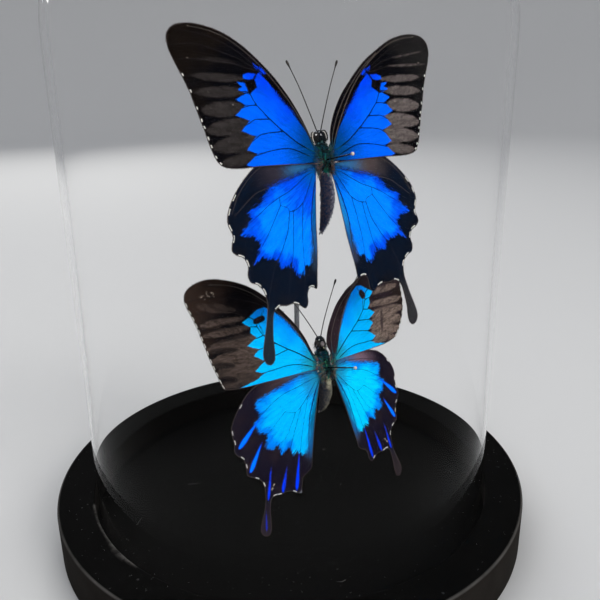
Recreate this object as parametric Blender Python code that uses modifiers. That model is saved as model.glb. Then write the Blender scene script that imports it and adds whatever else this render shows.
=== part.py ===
"""Two blue swallowtail butterflies, pinned one above the other to a thin rod, under a clear dome on a black base.

Metres, +Z up, origin at the middle of the base's underside. The viewer stands on the -Y side.
Every butterfly has a frame of its own in the middle of its thorax: x to its right, y to its head, z out of its back.
"""

import math

import bmesh
import bpy
from mathutils import Matrix, Vector

MM = 0.001
GAP = 0.3  # clearance between pieces that touch, in mm like every size below

BASE_RADIUS = 90.0
BASE_HEIGHT = 18.0
BASE_EDGE = 0.8  # chamfer of the outer rim edges
RECESS_RADIUS = 76.5
RECESS_DEPTH = 10.0
RECESS_EDGE = 0.5
SOCKET_DEPTH = 5.0
BASE_STEPS = 72

DOME_RADIUS = 75.0
DOME_WALL = 2.5
DOME_HEIGHT = 245.0
DOME_STEPS = 64
DOME_ARC_STEPS = 8

ROD_X = 3.5
ROD_Y = -2.5
ROD_RADIUS = 0.95
ROD_TOP = 143.0
ROD_SIDES = 20

WING_THICKNESS = 0.2
CURVE_STEPS = 2  # straight pieces between two points of a wing outline

BODY_SIDES = 16
LEG_SIDES = 6
LEG_RADIUS = 0.3
EYE_RADIUS = 1.05

ANTENNA_RADIUS = 0.17
ANTENNA_CLUB = 2.2  # how much thicker the club at its tip is

PIN_RADIUS = 0.27
PIN_HEAD_RADIUS = 0.85
PIN_POINT = 2.5  # length of the tapered point
PIN_SIDES = 12
PIN_END_IN_ROD = 0.3  # how far the point goes past the middle of the rod

# Outlines, seen from above with x away from the body and y to the head, from the root round the front edge.
UPPER_FOREWING = [
    (1.2, -1.5), (1.6, 1.0), (3.2, 5.2), (6.0, 11.3), (9.5, 17.3), (13.7, 22.7), (18.5, 27.4), (24.0, 31.7),
    (30.0, 35.0), (35.5, 36.7), (41.0, 37.4), (45.6, 36.7), (48.2, 34.6), (48.8, 31.6), (47.9, 28.0),
    (45.9, 23.1), (44.3, 18.7), (42.8, 13.0), (41.3, 7.6), (40.2, 3.0), (39.0, -0.3), (37.6, -2.2),
    (35.3, -3.1), (31.0, -3.5), (24.0, -3.4), (14.0, -3.5), (6.0, -3.8), (1.8, -3.7),
]
UPPER_FOREWING_RIGHT = [  # fuller along the front edge near the root
    (0.8, -1.5), (0.7, 2.4), (1.3, 6.5), (3.6, 11.9), (7.5, 17.7), (12.6, 22.9), (18.3, 28.0),
    *UPPER_FOREWING[7:-1],
    (1.4, -3.8),
]
UPPER_HINDWING = [
    (0.9, 1.2), (6.0, 3.6), (13.0, 4.4), (19.5, 3.6), (24.1, 1.9), (28.3, -1.1), (32.0, -4.6), (34.9, -8.2),
    (36.6, -11.6), (37.0, -14.3), (35.9, -17.8), (36.6, -20.0), (37.0, -22.1), (35.5, -23.5), (33.4, -24.6),
    (32.3, -27.2), (32.9, -30.0), (32.2, -32.1), (29.9, -33.2), (28.0, -35.6), (27.5, -39.5), (28.7, -44.8),
    (30.0, -48.7), (31.3, -52.5), (31.8, -55.0), (31.0, -57.2), (29.4, -58.0), (27.9, -56.9), (27.4, -54.4),
    (27.3, -50.5), (26.7, -46.6), (26.0, -43.6), (24.9, -41.9), (22.8, -40.9), (20.3, -41.3), (17.4, -41.1),
    (15.2, -42.0), (13.2, -43.4), (11.8, -42.1), (11.4, -39.0), (10.2, -37.3), (8.8, -37.3), (7.3, -38.0),
    (6.6, -34.0), (5.0, -25.5), (3.7, -16.5), (2.2, -7.0), (1.2, -2.0),
]
LOWER_FOREWING = [
    (1.6, -1.6), (2.3, 1.0), (3.9, 5.6), (5.7, 10.4), (8.7, 15.7), (12.8, 21.0), (18.1, 26.7), (24.3, 31.5),
    (31.4, 34.7), (38.0, 36.2), (43.0, 35.5), (46.0, 33.8), (47.1, 31.4), (46.7, 28.8), (45.0, 23.4),
    (43.3, 16.2), (41.9, 9.9), (40.4, 4.8), (39.3, 0.9), (37.8, -0.6), (31.8, -1.4), (25.0, -1.6),
    (15.0, -1.8), (6.4, -2.0), (2.2, -2.2),
]
LOWER_FOREWING_RIGHT = [  # the fuller one of the lower pair, hidden at its tip by the upper butterfly
    (0.5, -1.1), (-0.1, 2.4), (-1.2, 4.9), (-1.0, 7.5), (0.6, 11.1), (3.6, 15.3), (7.2, 19.0), (12.9, 22.7),
    (19.1, 25.4), (25.5, 28.9), (32.0, 31.9), (38.5, 33.4), (43.6, 32.9), (46.4, 30.6), (47.2, 27.0),
    (46.7, 22.5), (46.3, 18.5), (46.5, 14.8), (46.2, 11.4), (44.6, 7.0), (41.3, 2.4), (38.0, 0.0),
    (31.8, -1.1), (24.0, -1.3), (15.5, -1.3), (6.0, -1.3), (1.6, -1.4),
]
LOWER_HINDWING = [
    (1.2, 0.6), (7.0, 3.3), (16.0, 4.2), (24.3, 3.2), (29.8, 0.9), (33.6, -2.7), (35.9, -6.1), (36.6, -9.0),
    (36.3, -12.8), (37.5, -16.6), (36.5, -18.9), (34.7, -21.2), (34.2, -24.2), (34.4, -26.5), (32.3, -27.8),
    (29.9, -29.6), (29.1, -32.8), (29.5, -36.5), (30.5, -39.8), (32.1, -43.4), (33.0, -46.0), (32.3, -48.1),
    (30.7, -48.8), (29.3, -47.6), (28.8, -44.6), (28.4, -40.3), (27.5, -37.1), (25.8, -36.1), (23.6, -36.4),
    (21.0, -36.2), (18.6, -36.9), (16.4, -38.2), (14.9, -36.8), (14.1, -33.6), (12.4, -32.4), (10.0, -31.0),
    (8.9, -27.0), (7.3, -21.0), (4.8, -12.5), (2.6, -5.5), (1.4, -1.5),
]
LOWER_HINDWING_LEFT = [  # wider at its outer margin
    *LOWER_HINDWING[:5],
    (33.7, -2.9), (36.5, -6.6), (37.8, -9.4), (37.8, -12.2), (37.5, -14.3), (38.0, -16.8), (37.1, -18.7),
    (35.4, -20.3), (34.7, -23.1), (34.7, -26.2),
    *LOWER_HINDWING[14:],
]

# A seat is where a wing joins: out, up and lift from the middle of the thorax in mm, then in degrees
# how far the tip leans down (dihedral), how far the front edge lifts (twist) and how far it swings (sweep).
BUTTERFLIES = {
    "upper": {
        "place": (12.9, -17.0, 143.2),
        "yaw": 33.3,
        "pitch": 13.6,
        "roll": 0.8,
        "forewing": {
            "left": (UPPER_FOREWING, (2.1, 2.0, 1.0, -4.8, -1.2, -0.4)),
            "right": (UPPER_FOREWING_RIGHT, (2.7, 2.0, -0.1, -0.2, 0.4, 0.4)),
        },
        "hindwing": {
            "left": (UPPER_HINDWING, (2.9, -3.0, 0.2, -4.8, -1.2, -0.4)),
            "right": (UPPER_HINDWING, (1.8, -3.0, -0.9, -0.2, 0.4, 0.4)),
        },
        # distance along the body, half width, half depth, lift of the middle line
        "body": [
            (8.7, 0.6, 0.6, -1.2), (8.1, 1.3, 1.4, -1.2), (6.8, 1.9, 1.8, -1.2), (5.4, 1.7, 1.7, -1.2),
            (4.6, 1.2, 1.3, -1.2), (3.7, 2.0, 2.1, -1.1), (2.1, 2.4, 2.5, -1.1), (0.0, 2.45, 2.6, -1.1),
            (-2.5, 2.2, 2.4, -1.1), (-4.6, 1.4, 1.6, -1.1), (-6.2, 1.9, 1.9, -0.9), (-9.5, 2.2, 2.2, -0.9),
            (-13.5, 2.4, 2.3, -1.8), (-17.5, 2.0, 2.0, -3.3), (-21.0, 1.3, 1.3, -5.1), (-23.3, 0.7, 0.7, -6.6),
            (-24.2, 0.3, 0.3, -7.2),
        ],
        "bend": 0.6,
        "eyes": (6.6, -0.9),
        "antenna": [(0.8, 9.2, -0.9), (3.0, 14.5, -0.5), (6.2, 22.5, 0.1), (9.9, 30.3, 0.5)],
        "pin_up": -1.0,
        "pin_front": 14.9,
        "colour": (0.0, 0.09, 0.62),
    },
    "lower": {
        "place": (13.5, -15.7, 69.1),
        "yaw": 36.7,
        "pitch": 18.7,
        "roll": 1.0,
        "forewing": {
            "left": (LOWER_FOREWING, (2.0, 2.0, 1.0, 5.4, 3.2, -0.8)),
            "right": (LOWER_FOREWING_RIGHT, (3.0, 2.0, 0.2, 9.0, 3.6, 0.8)),
        },
        "hindwing": {
            "left": (LOWER_HINDWING_LEFT, (2.6, -3.0, 0.2, 5.4, 3.2, -1.5)),
            "right": (LOWER_HINDWING, (2.1, -3.0, -0.6, 9.0, 3.6, 1.5)),
        },
        "body": [
            (10.9, 0.6, 0.6, -0.8), (10.2, 1.3, 1.4, -0.8), (8.7, 1.9, 1.9, -0.8), (7.2, 1.7, 1.7, -0.9),
            (6.3, 1.2, 1.3, -1.1), (5.3, 2.0, 2.1, -1.3), (3.4, 2.4, 2.6, -1.4), (1.2, 2.45, 2.7, -1.4),
            (-1.4, 2.2, 2.5, -1.5), (-3.6, 1.5, 1.7, -1.8), (-5.3, 2.0, 2.0, -2.2), (-8.0, 2.3, 2.3, -3.1),
            (-11.2, 2.1, 2.1, -4.5), (-14.0, 1.6, 1.7, -6.4), (-16.2, 1.0, 1.0, -8.4), (-17.2, 0.4, 0.4, -9.6),
        ],
        "bend": 0.4,
        "eyes": (8.5, -0.5),
        "antenna": [(0.8, 11.4, -0.6), (3.4, 16.0, -0.3), (7.2, 22.5, 0.2), (11.8, 29.5, 0.5)],
        "pin_up": -0.6,
        "pin_front": 16.2,
        "colour": (0.0, 0.32, 0.80),
    },
}

# Six legs folded against the underside: side and depth from the thorax's lower surface, then how far along.
LEGS = [
    [(1.0, 1.1, 2.6), (2.1, 0.1, 5.2), (1.5, -0.7, 2.2), (1.3, -0.8, 5.8)],
    [(1.1, 0.9, 0.4), (2.4, -0.4, 2.4), (2.0, -0.9, -2.2), (1.5, -0.9, 0.8)],
    [(1.0, 0.9, -1.6), (2.3, -0.5, -3.6), (1.7, -1.1, -8.0), (0.9, -2.6, -12.0)],
]


def clear_scene():
    for obj in list(bpy.data.objects):
        bpy.data.objects.remove(obj, do_unlink=True)


def new_collection(name):
    collection = bpy.data.collections.new(name)
    bpy.context.scene.collection.children.link(collection)
    return collection


def new_material(name, colour, roughness, metallic=0.0, transmission=0.0):
    material = bpy.data.materials.new(name)
    material.use_nodes = True
    shader = material.node_tree.nodes["Principled BSDF"]
    shader.inputs["Base Color"].default_value = (*colour, 1.0)
    shader.inputs["Roughness"].default_value = roughness
    shader.inputs["Metallic"].default_value = metallic
    shader.inputs["Transmission Weight"].default_value = transmission
    material.diffuse_color = (*colour, 1.0)
    return material


def add_object(name, data, collection, material=None, matrix=None):
    obj = bpy.data.objects.new(name, data)
    collection.objects.link(obj)
    if material:
        data.materials.append(material)
    if matrix:
        obj.matrix_world = matrix
    return obj


def add_helper(name, data, matrix=None):
    """A shape that only cuts or joins another one."""
    obj = add_object(name, data, helpers, matrix=matrix)
    obj.hide_render = True
    obj.display_type = "WIRE"
    return obj


def turned(name, profile, steps, collection, material, matrix=None):
    """Turns a profile of (radius, height) points, listed from the top down its outer side, about local Z."""
    mesh = bpy.data.meshes.new(name)
    points = [(radius * MM, 0.0, height * MM) for radius, height in profile]
    edges = [(i, i + 1) for i in range(len(points) - 1)]
    mesh.from_pydata(points, edges, [])
    obj = add_object(name, mesh, collection, material, matrix)
    screw = obj.modifiers.new("Turn", "SCREW")
    screw.steps = steps
    screw.render_steps = steps
    screw.use_merge_vertices = True
    screw.merge_threshold = 0.00001
    return obj


def arc(centre, radius, start, end, steps):
    """Points of an arc in a profile, angles in degrees from the +X side."""
    angles = [math.radians(start + (end - start) * i / steps) for i in range(steps + 1)]
    return [(centre[0] + radius * math.cos(a), centre[1] + radius * math.sin(a)) for a in angles]


def cylinder_mesh(name, radius, depth, sides):
    mesh = bpy.data.meshes.new(name)
    shape = bmesh.new()
    bmesh.ops.create_cone(
        shape, cap_ends=True, segments=sides, radius1=radius * MM, radius2=radius * MM, depth=depth * MM
    )
    shape.to_mesh(mesh)
    shape.free()
    return mesh


def add_boolean(obj, name, operation, other=None, collection=None):
    boolean = obj.modifiers.new(name, "BOOLEAN")
    boolean.operation = operation
    boolean.solver = "EXACT"
    if collection:
        boolean.operand_type = "COLLECTION"
        boolean.collection = collection
    else:
        boolean.object = other


def smooth_closed(points, steps):
    """A closed Catmull-Rom curve through the points."""
    count = len(points)
    result = []
    for i in range(count):
        p0, p1, p2, p3 = (Vector(points[(i + k) % count]) for k in (-1, 0, 1, 2))
        for j in range(steps):
            t = j / steps
            result.append(
                0.5 * (2 * p1 + (p2 - p0) * t + (2 * p0 - 5 * p1 + 4 * p2 - p3) * t**2
                       + (3 * p1 - p0 - 3 * p2 + p3) * t**3)
            )
    return result


def plate(name, outline, thickness, collection, material):
    """A flat outline with a thickness, centred on its own plane."""
    curve = bpy.data.curves.new(name, "CURVE")
    curve.dimensions = "2D"
    curve.fill_mode = "BOTH"
    curve.extrude = thickness * MM / 2
    spline = curve.splines.new("POLY")
    spline.points.add(len(outline) - 1)
    for point, (x, y) in zip(spline.points, outline):
        point.co = (x * MM, y * MM, 0.0, 1.0)
    spline.use_cyclic_u = True
    return add_object(name, curve, collection, material)


def loft_mesh(name, sections, sides):
    """Skins ellipses (middle point, half width, half depth) that stand across the line of their middles."""
    mesh = bpy.data.meshes.new(name)
    shape = bmesh.new()
    middles = [Vector(section[0]) for section in sections]
    rings = []
    for i, (middle, width, depth) in enumerate(sections):
        along = middles[min(i + 1, len(middles) - 1)] - middles[max(i - 1, 0)]
        along.normalize()
        across = along.cross(Vector((0.0, 0.0, 1.0)))
        across.normalize()
        out = across.cross(along)
        ring = []
        for k in range(sides):
            angle = 2 * math.pi * k / sides
            offset = across * (width * math.cos(angle)) + out * (depth * math.sin(angle))
            ring.append(shape.verts.new((Vector(middle) + offset) * MM))
        rings.append(ring)
    for first, second in zip(rings, rings[1:]):
        for k in range(sides):
            shape.faces.new((first[k], first[k - 1], second[k - 1], second[k]))
    shape.faces.new(rings[0])
    shape.faces.new(reversed(rings[-1]))
    bmesh.ops.recalc_face_normals(shape, faces=shape.faces)
    shape.to_mesh(mesh)
    shape.free()
    return mesh


def shade(obj):
    """Round pieces look smooth and keep their sharp edges."""
    obj.data.shade_smooth()
    obj.data.set_sharp_from_angle(angle=math.radians(40))


def make_base():
    floor = BASE_HEIGHT - RECESS_DEPTH
    profile = [
        (0.0, floor),
        (RECESS_RADIUS, floor),
        (RECESS_RADIUS, BASE_HEIGHT - RECESS_EDGE),
        (RECESS_RADIUS + RECESS_EDGE, BASE_HEIGHT),
        (BASE_RADIUS - BASE_EDGE, BASE_HEIGHT),
        (BASE_RADIUS, BASE_HEIGHT - BASE_EDGE),
        (BASE_RADIUS, BASE_EDGE),
        (BASE_RADIUS - BASE_EDGE, 0.0),
        (0.0, 0.0),
    ]
    base = turned("base", profile, BASE_STEPS, parts, new_material("black_base", (0.012, 0.012, 0.013), 0.45))
    top = floor + 1.0
    bottom = floor - SOCKET_DEPTH
    cutter = add_helper(
        "socket_cutter",
        cylinder_mesh("socket_cutter", ROD_RADIUS + GAP, top - bottom, ROD_SIDES),
        Matrix.Translation(Vector((ROD_X, ROD_Y, (top + bottom) / 2)) * MM),
    )
    add_boolean(base, "Socket", "DIFFERENCE", cutter)


def make_dome():
    foot = BASE_HEIGHT - RECESS_DEPTH + GAP
    inner = DOME_RADIUS - DOME_WALL
    shoulder = foot + DOME_HEIGHT - DOME_RADIUS
    outside = arc((0.0, shoulder), DOME_RADIUS, 90, 0, DOME_ARC_STEPS)
    inside = arc((0.0, shoulder), inner, 0, 90, DOME_ARC_STEPS)
    outside[0] = (0.0, shoulder + DOME_RADIUS)
    inside[-1] = (0.0, shoulder + inner)
    profile = outside + [(DOME_RADIUS, foot), (inner, foot)] + inside
    glass = new_material("clear_glass", (1.0, 1.0, 1.0), 0.0, transmission=1.0)
    turned("glass_dome", profile, DOME_STEPS, parts, glass)


def make_rod():
    bottom = BASE_HEIGHT - RECESS_DEPTH - SOCKET_DEPTH + GAP
    height = ROD_TOP - bottom
    mesh = cylinder_mesh("support_rod", ROD_RADIUS, height, ROD_SIDES)
    place = Matrix.Translation(Vector((ROD_X, ROD_Y, bottom + height / 2)) * MM)
    rod = add_object("support_rod", mesh, parts, new_material("pale_rod", (0.72, 0.72, 0.70), 0.4), place)
    shade(rod)
    return rod


def butterfly_frame(spec):
    """Turns to the yaw, leans back by the pitch and tilts by the roll, from a back that faces the viewer."""
    turn = Matrix.Rotation(math.radians(spec["yaw"]), 4, "Z")
    lean = Matrix.Rotation(math.radians(90.0 - spec["pitch"]), 4, "X")
    tilt = Matrix.Rotation(math.radians(-spec["roll"]), 4, "Z")
    return Matrix.Translation(Vector(spec["place"]) * MM) @ turn @ lean @ tilt


def seat_frame(side, seat):
    """Where a wing joins, in the butterfly's frame. Side is -1 on the left and 1 on the right."""
    out, up, lift, dihedral, twist, sweep = seat
    lean = Matrix.Rotation(math.radians(side * dihedral), 4, "Y")
    turn = Matrix.Rotation(math.radians(twist), 4, "X")
    swing = Matrix.Rotation(math.radians(-side * sweep), 4, "Z")
    return Matrix.Translation(Vector((side * out, up, lift)) * MM) @ lean @ turn @ swing


def make_wings(name, spec, frame, material):
    for pair in ("forewing", "hindwing"):
        for side_name, side in (("left", -1), ("right", 1)):
            outline, seat = spec[pair][side_name]
            points = [(side * x, y) for x, y in smooth_closed(outline, CURVE_STEPS)]
            wing = plate(f"{name}_{pair}_{side_name}", points, WING_THICKNESS, parts, material)
            wing.matrix_world = frame @ seat_frame(side, seat)


def leg_meshes(name, points, side, underside):
    """The straight pieces of a leg with four bends, thick at the body and thin at the foot."""
    sections = []
    for i, (across, rise, along) in enumerate(points):
        radius = LEG_RADIUS * (1.3 - 0.2 * i)
        sections.append(((side * across, along, underside + rise), radius, radius))
    return [loft_mesh(name, pair, LEG_SIDES) for pair in zip(sections, sections[1:])]


def make_body(name, spec, frame, material):
    joined = new_collection(f"{name}_body_helpers")
    sections = []
    for along, width, depth, lift in spec["body"]:
        bend = spec["bend"] * math.sin(math.pi * min(1.0, max(0.0, (along + 5.0) / (spec["body"][-1][0] + 5.0))))
        sections.append(((bend, along, lift), width, depth))
    body = add_object(f"{name}_body", loft_mesh(f"{name}_body", sections, BODY_SIDES), parts, material, frame)
    shade(body)
    thorax = max(spec["body"], key=lambda section: section[2])
    underside = thorax[3] - thorax[2]
    shapes = []
    for side in (-1, 1):
        for leg in LEGS:
            shapes.extend(leg_meshes(f"{name}_leg", leg, side, underside))
        eye = bpy.data.meshes.new(f"{name}_eye")
        shape = bmesh.new()
        bmesh.ops.create_uvsphere(shape, u_segments=12, v_segments=8, radius=EYE_RADIUS * MM)
        along, lift = spec["eyes"]
        bmesh.ops.translate(shape, verts=shape.verts, vec=Vector((side * 1.35, along, lift)) * MM)
        shape.to_mesh(eye)
        shape.free()
        shapes.append(eye)
    for mesh in shapes:
        helper = add_helper(mesh.name, mesh, frame)
        helpers.objects.unlink(helper)
        joined.objects.link(helper)
    add_boolean(body, "Legs and eyes", "UNION", collection=joined)
    bore = add_helper(
        f"{name}_bore",
        cylinder_mesh(f"{name}_bore", PIN_RADIUS + GAP, 4 * thorax[2], PIN_SIDES),
        frame @ Matrix.Translation(Vector((0.0, spec["pin_up"], thorax[3])) * MM),
    )
    add_boolean(body, "Pin bore", "DIFFERENCE", bore)


def make_antennae(name, spec, frame, material):
    for side_name, side in (("left", -1), ("right", 1)):
        curve = bpy.data.curves.new(f"{name}_antenna_{side_name}", "CURVE")
        curve.dimensions = "3D"
        curve.bevel_depth = ANTENNA_RADIUS * MM
        curve.bevel_resolution = 1
        curve.use_fill_caps = True
        points = spec["antenna"]
        club = Vector(points[-2]).lerp(Vector(points[-1]), 0.6)
        line = [*points[:-1], tuple(club), points[-1]]
        spline = curve.splines.new("POLY")
        spline.points.add(len(line) - 1)
        for i, (point, (x, y, z)) in enumerate(zip(spline.points, line)):
            point.co = (side * x * MM, y * MM, z * MM, 1.0)
            point.radius = ANTENNA_CLUB if i == len(line) - 2 else 1.0
        add_object(curve.name, curve, parts, material, frame)


def make_pin(name, spec, frame, rod, material):
    """The pin goes through the thorax along the butterfly's own z, and its point ends in the rod."""
    axis = (frame @ Matrix.Translation(Vector((0.0, spec["pin_up"], 0.0)) * MM))
    start = axis.translation / MM
    direction = (axis.to_3x3() @ Vector((0.0, 0.0, 1.0))).normalized()
    back = (ROD_Y - start.y) / direction.y - PIN_END_IN_ROD
    ball = arc((0.0, spec["pin_front"]), PIN_HEAD_RADIUS, 90, -66, 6)
    ball[0] = (0.0, spec["pin_front"] + PIN_HEAD_RADIUS)
    profile = ball + [
        (PIN_RADIUS, spec["pin_front"] - PIN_HEAD_RADIUS),
        (PIN_RADIUS, back + PIN_POINT),
        (0.0, back),
    ]
    turned(f"{name}_pin", profile, PIN_SIDES, parts, material, axis)
    hole = add_helper(
        f"{name}_rod_hole",
        cylinder_mesh(f"{name}_rod_hole", PIN_RADIUS + GAP / 2, 2 * (ROD_RADIUS + 1.0), PIN_SIDES),
        axis @ Matrix.Translation(Vector((0.0, 0.0, back + ROD_RADIUS + 0.6)) * MM),
    )
    add_boolean(rod, f"{name} hole", "DIFFERENCE", hole)


def make_butterfly(name, spec, rod, materials):
    frame = butterfly_frame(spec)
    wings = new_material(f"{name}_wings", spec["colour"], 0.35)
    make_wings(name, spec, frame, wings)
    make_body(name, spec, frame, materials["body"])
    make_antennae(name, spec, frame, materials["body"])
    make_pin(name, spec, frame, rod, materials["pin"])


clear_scene()
parts = new_collection("butterflies_in_dome")
helpers = new_collection("cutters")
make_base()
make_dome()
support_rod = make_rod()
shared_materials = {
    "body": new_material("dark_body", (0.02, 0.03, 0.03), 0.6),
    "pin": new_material("steel_pin", (0.6, 0.6, 0.6), 0.3, metallic=1.0),
}
for butterfly_name, butterfly in BUTTERFLIES.items():
    make_butterfly(butterfly_name, butterfly, support_rod, shared_materials)
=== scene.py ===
import math

import bmesh
import bpy
import numpy as np
from mathutils import Matrix, Vector, geometry


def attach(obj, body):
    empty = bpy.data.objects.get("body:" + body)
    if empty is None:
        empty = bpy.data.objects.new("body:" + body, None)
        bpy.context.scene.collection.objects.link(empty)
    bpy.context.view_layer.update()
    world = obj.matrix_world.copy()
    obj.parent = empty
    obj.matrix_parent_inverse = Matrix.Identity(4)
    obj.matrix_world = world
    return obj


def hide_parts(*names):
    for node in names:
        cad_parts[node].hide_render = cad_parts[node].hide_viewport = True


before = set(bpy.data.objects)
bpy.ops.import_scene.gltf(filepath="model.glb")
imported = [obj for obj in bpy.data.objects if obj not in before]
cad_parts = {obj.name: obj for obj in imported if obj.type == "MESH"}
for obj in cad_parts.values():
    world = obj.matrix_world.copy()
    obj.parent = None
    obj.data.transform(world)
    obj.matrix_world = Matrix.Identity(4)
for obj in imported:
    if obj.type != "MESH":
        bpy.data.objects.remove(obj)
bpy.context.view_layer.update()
mm = 0.001  # every length below is in mm, unless its name says otherwise
body = "root"
rng = np.random.default_rng(7)

# small helpers for shapes


def say(text):
    print("scene:", text)


def scaled(colour, factor):
    return tuple(c * factor for c in colour)


def curvePoint(a, b, c, d, t):
    # a share t of the way from b to c on the Catmull-Rom curve through four points
    return 0.5 * (2 * b + (c - a) * t + (2 * a - 5 * b + 4 * c - d) * t**2 + (3 * b - a - 3 * c + d) * t**3)


def smoothLoop(points, steps):
    # closed curve through the points
    p = np.array(points, float)
    near = [np.roll(p, k, 0) for k in (1, 0, -1, -2)]
    rows = [curvePoint(*near, t) for t in np.arange(steps) / steps]
    return np.stack(rows, 1).reshape(-1, p.shape[1])


def smoothLine(points, steps):
    # open curve through the points, with its end points doubled
    p = np.array([points[0], *points, points[-1]], float)
    rows = [curvePoint(*p[i:i + 4], t) for i in range(len(p) - 3) for t in np.arange(steps) / steps]
    return np.array([*rows, p[-1]])


def evenly(points, spacing, closed=False):
    # the same line with its points at an even spacing
    p = np.array(points, float)
    if closed:
        p = np.vstack([p, p[:1]])
    run = np.concatenate([[0], np.cumsum(np.linalg.norm(np.diff(p, axis=0), axis=1))])
    count = max(2, int(round(run[-1] / spacing)) + 1)
    at = np.linspace(0, run[-1], count)
    out = np.stack([np.interp(at, run, p[:, k]) for k in range(p.shape[1])], 1)
    return out[:-1] if closed else out


def lineField(spots, line, rootWidth=0.0, tipWidth=0.0):
    # distance from each spot to an open line, or to the sides of one with a width
    best = np.full(len(spots), 1e9)
    widths = np.linspace(rootWidth, tipWidth, len(line)) / 2
    for a, b, wa, wb in zip(line[:-1], line[1:], widths[:-1], widths[1:]):
        ab = b - a
        t = np.clip(((spots - a) @ ab) / max(ab @ ab, 1e-9), 0, 1)
        away = np.linalg.norm(spots - a - t[:, None] * ab, axis=1)
        best = np.minimum(best, away - wa - (wb - wa) * t)
    return best


def areaField(spots, loop):
    # distance to a closed loop, positive inside
    loop = np.array(loop, float)
    inside = np.zeros(len(spots), bool)
    for a, b in zip(loop, np.roll(loop, -1, 0)):
        crosses = (a[1] > spots[:, 1]) != (b[1] > spots[:, 1])
        x = a[0] + (spots[:, 1] - a[1]) * (b[0] - a[0]) / (b[1] - a[1] if b[1] != a[1] else 1e-9)
        inside ^= crosses & (spots[:, 0] < x)
    edge = lineField(spots, np.vstack([loop, loop[:1]]))
    return np.where(inside, edge, -edge)


def spindleField(spots, ends, widthAt):
    # a shape from (x, y) to (x, y) whose half width is given along the way, positive inside
    a, b = np.array(ends[:2], float), np.array(ends[2:], float)
    length = np.linalg.norm(b - a)
    along = (b - a) / length
    t = ((spots - a) @ along) / length
    across = np.abs((spots - a) @ np.array([-along[1], along[0]]))
    beyond = -np.hypot(across, np.maximum(-t, t - 1) * length)
    return np.where((t > 0) & (t < 1), widthAt(t) - across, beyond)


def lensField(spots, lens):
    # a leaf shape, widest at its middle
    return spindleField(spots, lens[:4], lambda t: lens[4] * np.sqrt(np.clip(1 - (2 * t - 1) ** 2, 0, 1)))


def dropField(spots, drop):
    # a drop from its thin end to its round end
    widest, rest = 0.72, 0.28  # shares of its length before and after the widest place

    def halfWidth(t):
        roundEnd = np.sqrt(np.clip(1 - ((t - widest) / rest).clip(0) ** 2, 0, 1))
        return drop[4] * np.clip(t / widest, 0, 1) ** 0.8 * roundEnd

    return spindleField(spots, drop[:4], halfWidth)


def bulgedLoop(points):
    # (x, y) corners joined by straight lines, or where there is a third number by a line that swells out:
    # above 0 near its start, below 0 near its end
    fullSwell = 6.75  # makes the third number the greatest swell as a share of the line's length
    loop = []
    for here, there in zip(points, points[1:] + points[:1]):
        a, b = np.array(here[:2], float), np.array(there[:2], float)
        loop.append(a)
        if len(here) == 3:
            out = np.array([-(b - a)[1], (b - a)[0]]) * abs(here[2]) * fullSwell
            for t in (0.12, 0.25, 0.4, 0.55, 0.7, 0.85):
                swell = t * (1 - t) ** 2 if here[2] > 0 else t * t * (1 - t)
                loop.append(a + (b - a) * t + out * swell)
    return np.array(loop)


def placeMesh(mesh, material, matrix=None):
    obj = bpy.data.objects.new(mesh.name, mesh)
    bpy.context.scene.collection.objects.link(obj)
    mesh.materials.append(material)
    mesh.shade_smooth()
    if matrix:
        obj.matrix_world = matrix
    return obj


def meshObject(name, verts, faces, material, matrix=None):
    mesh = bpy.data.meshes.new(name)
    mesh.from_pydata([tuple(v) for v in verts], [], [tuple(f) for f in faces])
    return placeMesh(mesh, material, matrix)


def ballObject(name, balls, segments, material, matrix):
    # joined balls, each with its radius and the matrix that shapes and places it
    shape = bmesh.new()
    for radius, where in balls:
        bmesh.ops.create_uvsphere(shape, u_segments=segments, v_segments=segments * 2 // 3,
                                  radius=radius * mm, matrix=where)
    mesh = bpy.data.meshes.new(name)
    shape.to_mesh(mesh)
    shape.free()
    return placeMesh(mesh, material, matrix)


def numberField(mesh, name, values):
    mesh.attributes.new(name, "FLOAT", "POINT").data.foreach_set("value", np.asarray(values, np.float32))


def vectorField(mesh, name, values):
    data = mesh.attributes.new(name, "FLOAT_VECTOR", "POINT").data
    data.foreach_set("vector", np.asarray(values, np.float32).ravel())


def colourField(mesh, name, values):
    data = mesh.attributes.new(name, "FLOAT_COLOR", "POINT").data
    rgba = np.ones((len(values), 4), np.float32)
    rgba[:, :3] = values
    data.foreach_set("color", rgba.ravel())


def ringFaces(start, rings, sides, flip=False):
    # the faces of a row of rings of points, closed at both ends
    faces = []
    for i in range(rings - 1):
        for k in range(sides):
            a, b = start + i * sides + k, start + i * sides + (k + 1) % sides
            faces.append((a, b, b + sides, a + sides) if flip else (a, a + sides, b + sides, b))
    first = [start + k for k in range(sides)]
    last = [start + (rings - 1) * sides + k for k in range(sides)]
    return faces + ([first[::-1], last] if flip else [first, last[::-1]])


def tubeMesh(lines, sides):
    # joined round tubes, one for each (points, radii), closed at both ends
    verts, faces = [], []
    for points, radii in lines:
        points = np.array(points, float)
        faces += ringFaces(len(verts), len(points), sides)
        along = np.gradient(points, axis=0)
        along /= np.linalg.norm(along, axis=1)[:, None]
        up = np.array([0.0, 0.0, 1.0])
        if abs(along[0] @ up) > 0.9:
            up = np.array([0.0, 1.0, 0.0])
        for p, d, r in zip(points, along, radii):
            across = np.cross(d, up)
            across /= np.linalg.norm(across)
            up = np.cross(across, d)
            for k in range(sides):
                a = 2 * math.pi * k / sides
                verts.append(p + r * (across * math.cos(a) + up * math.sin(a)))
    return np.array(verts), faces


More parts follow.
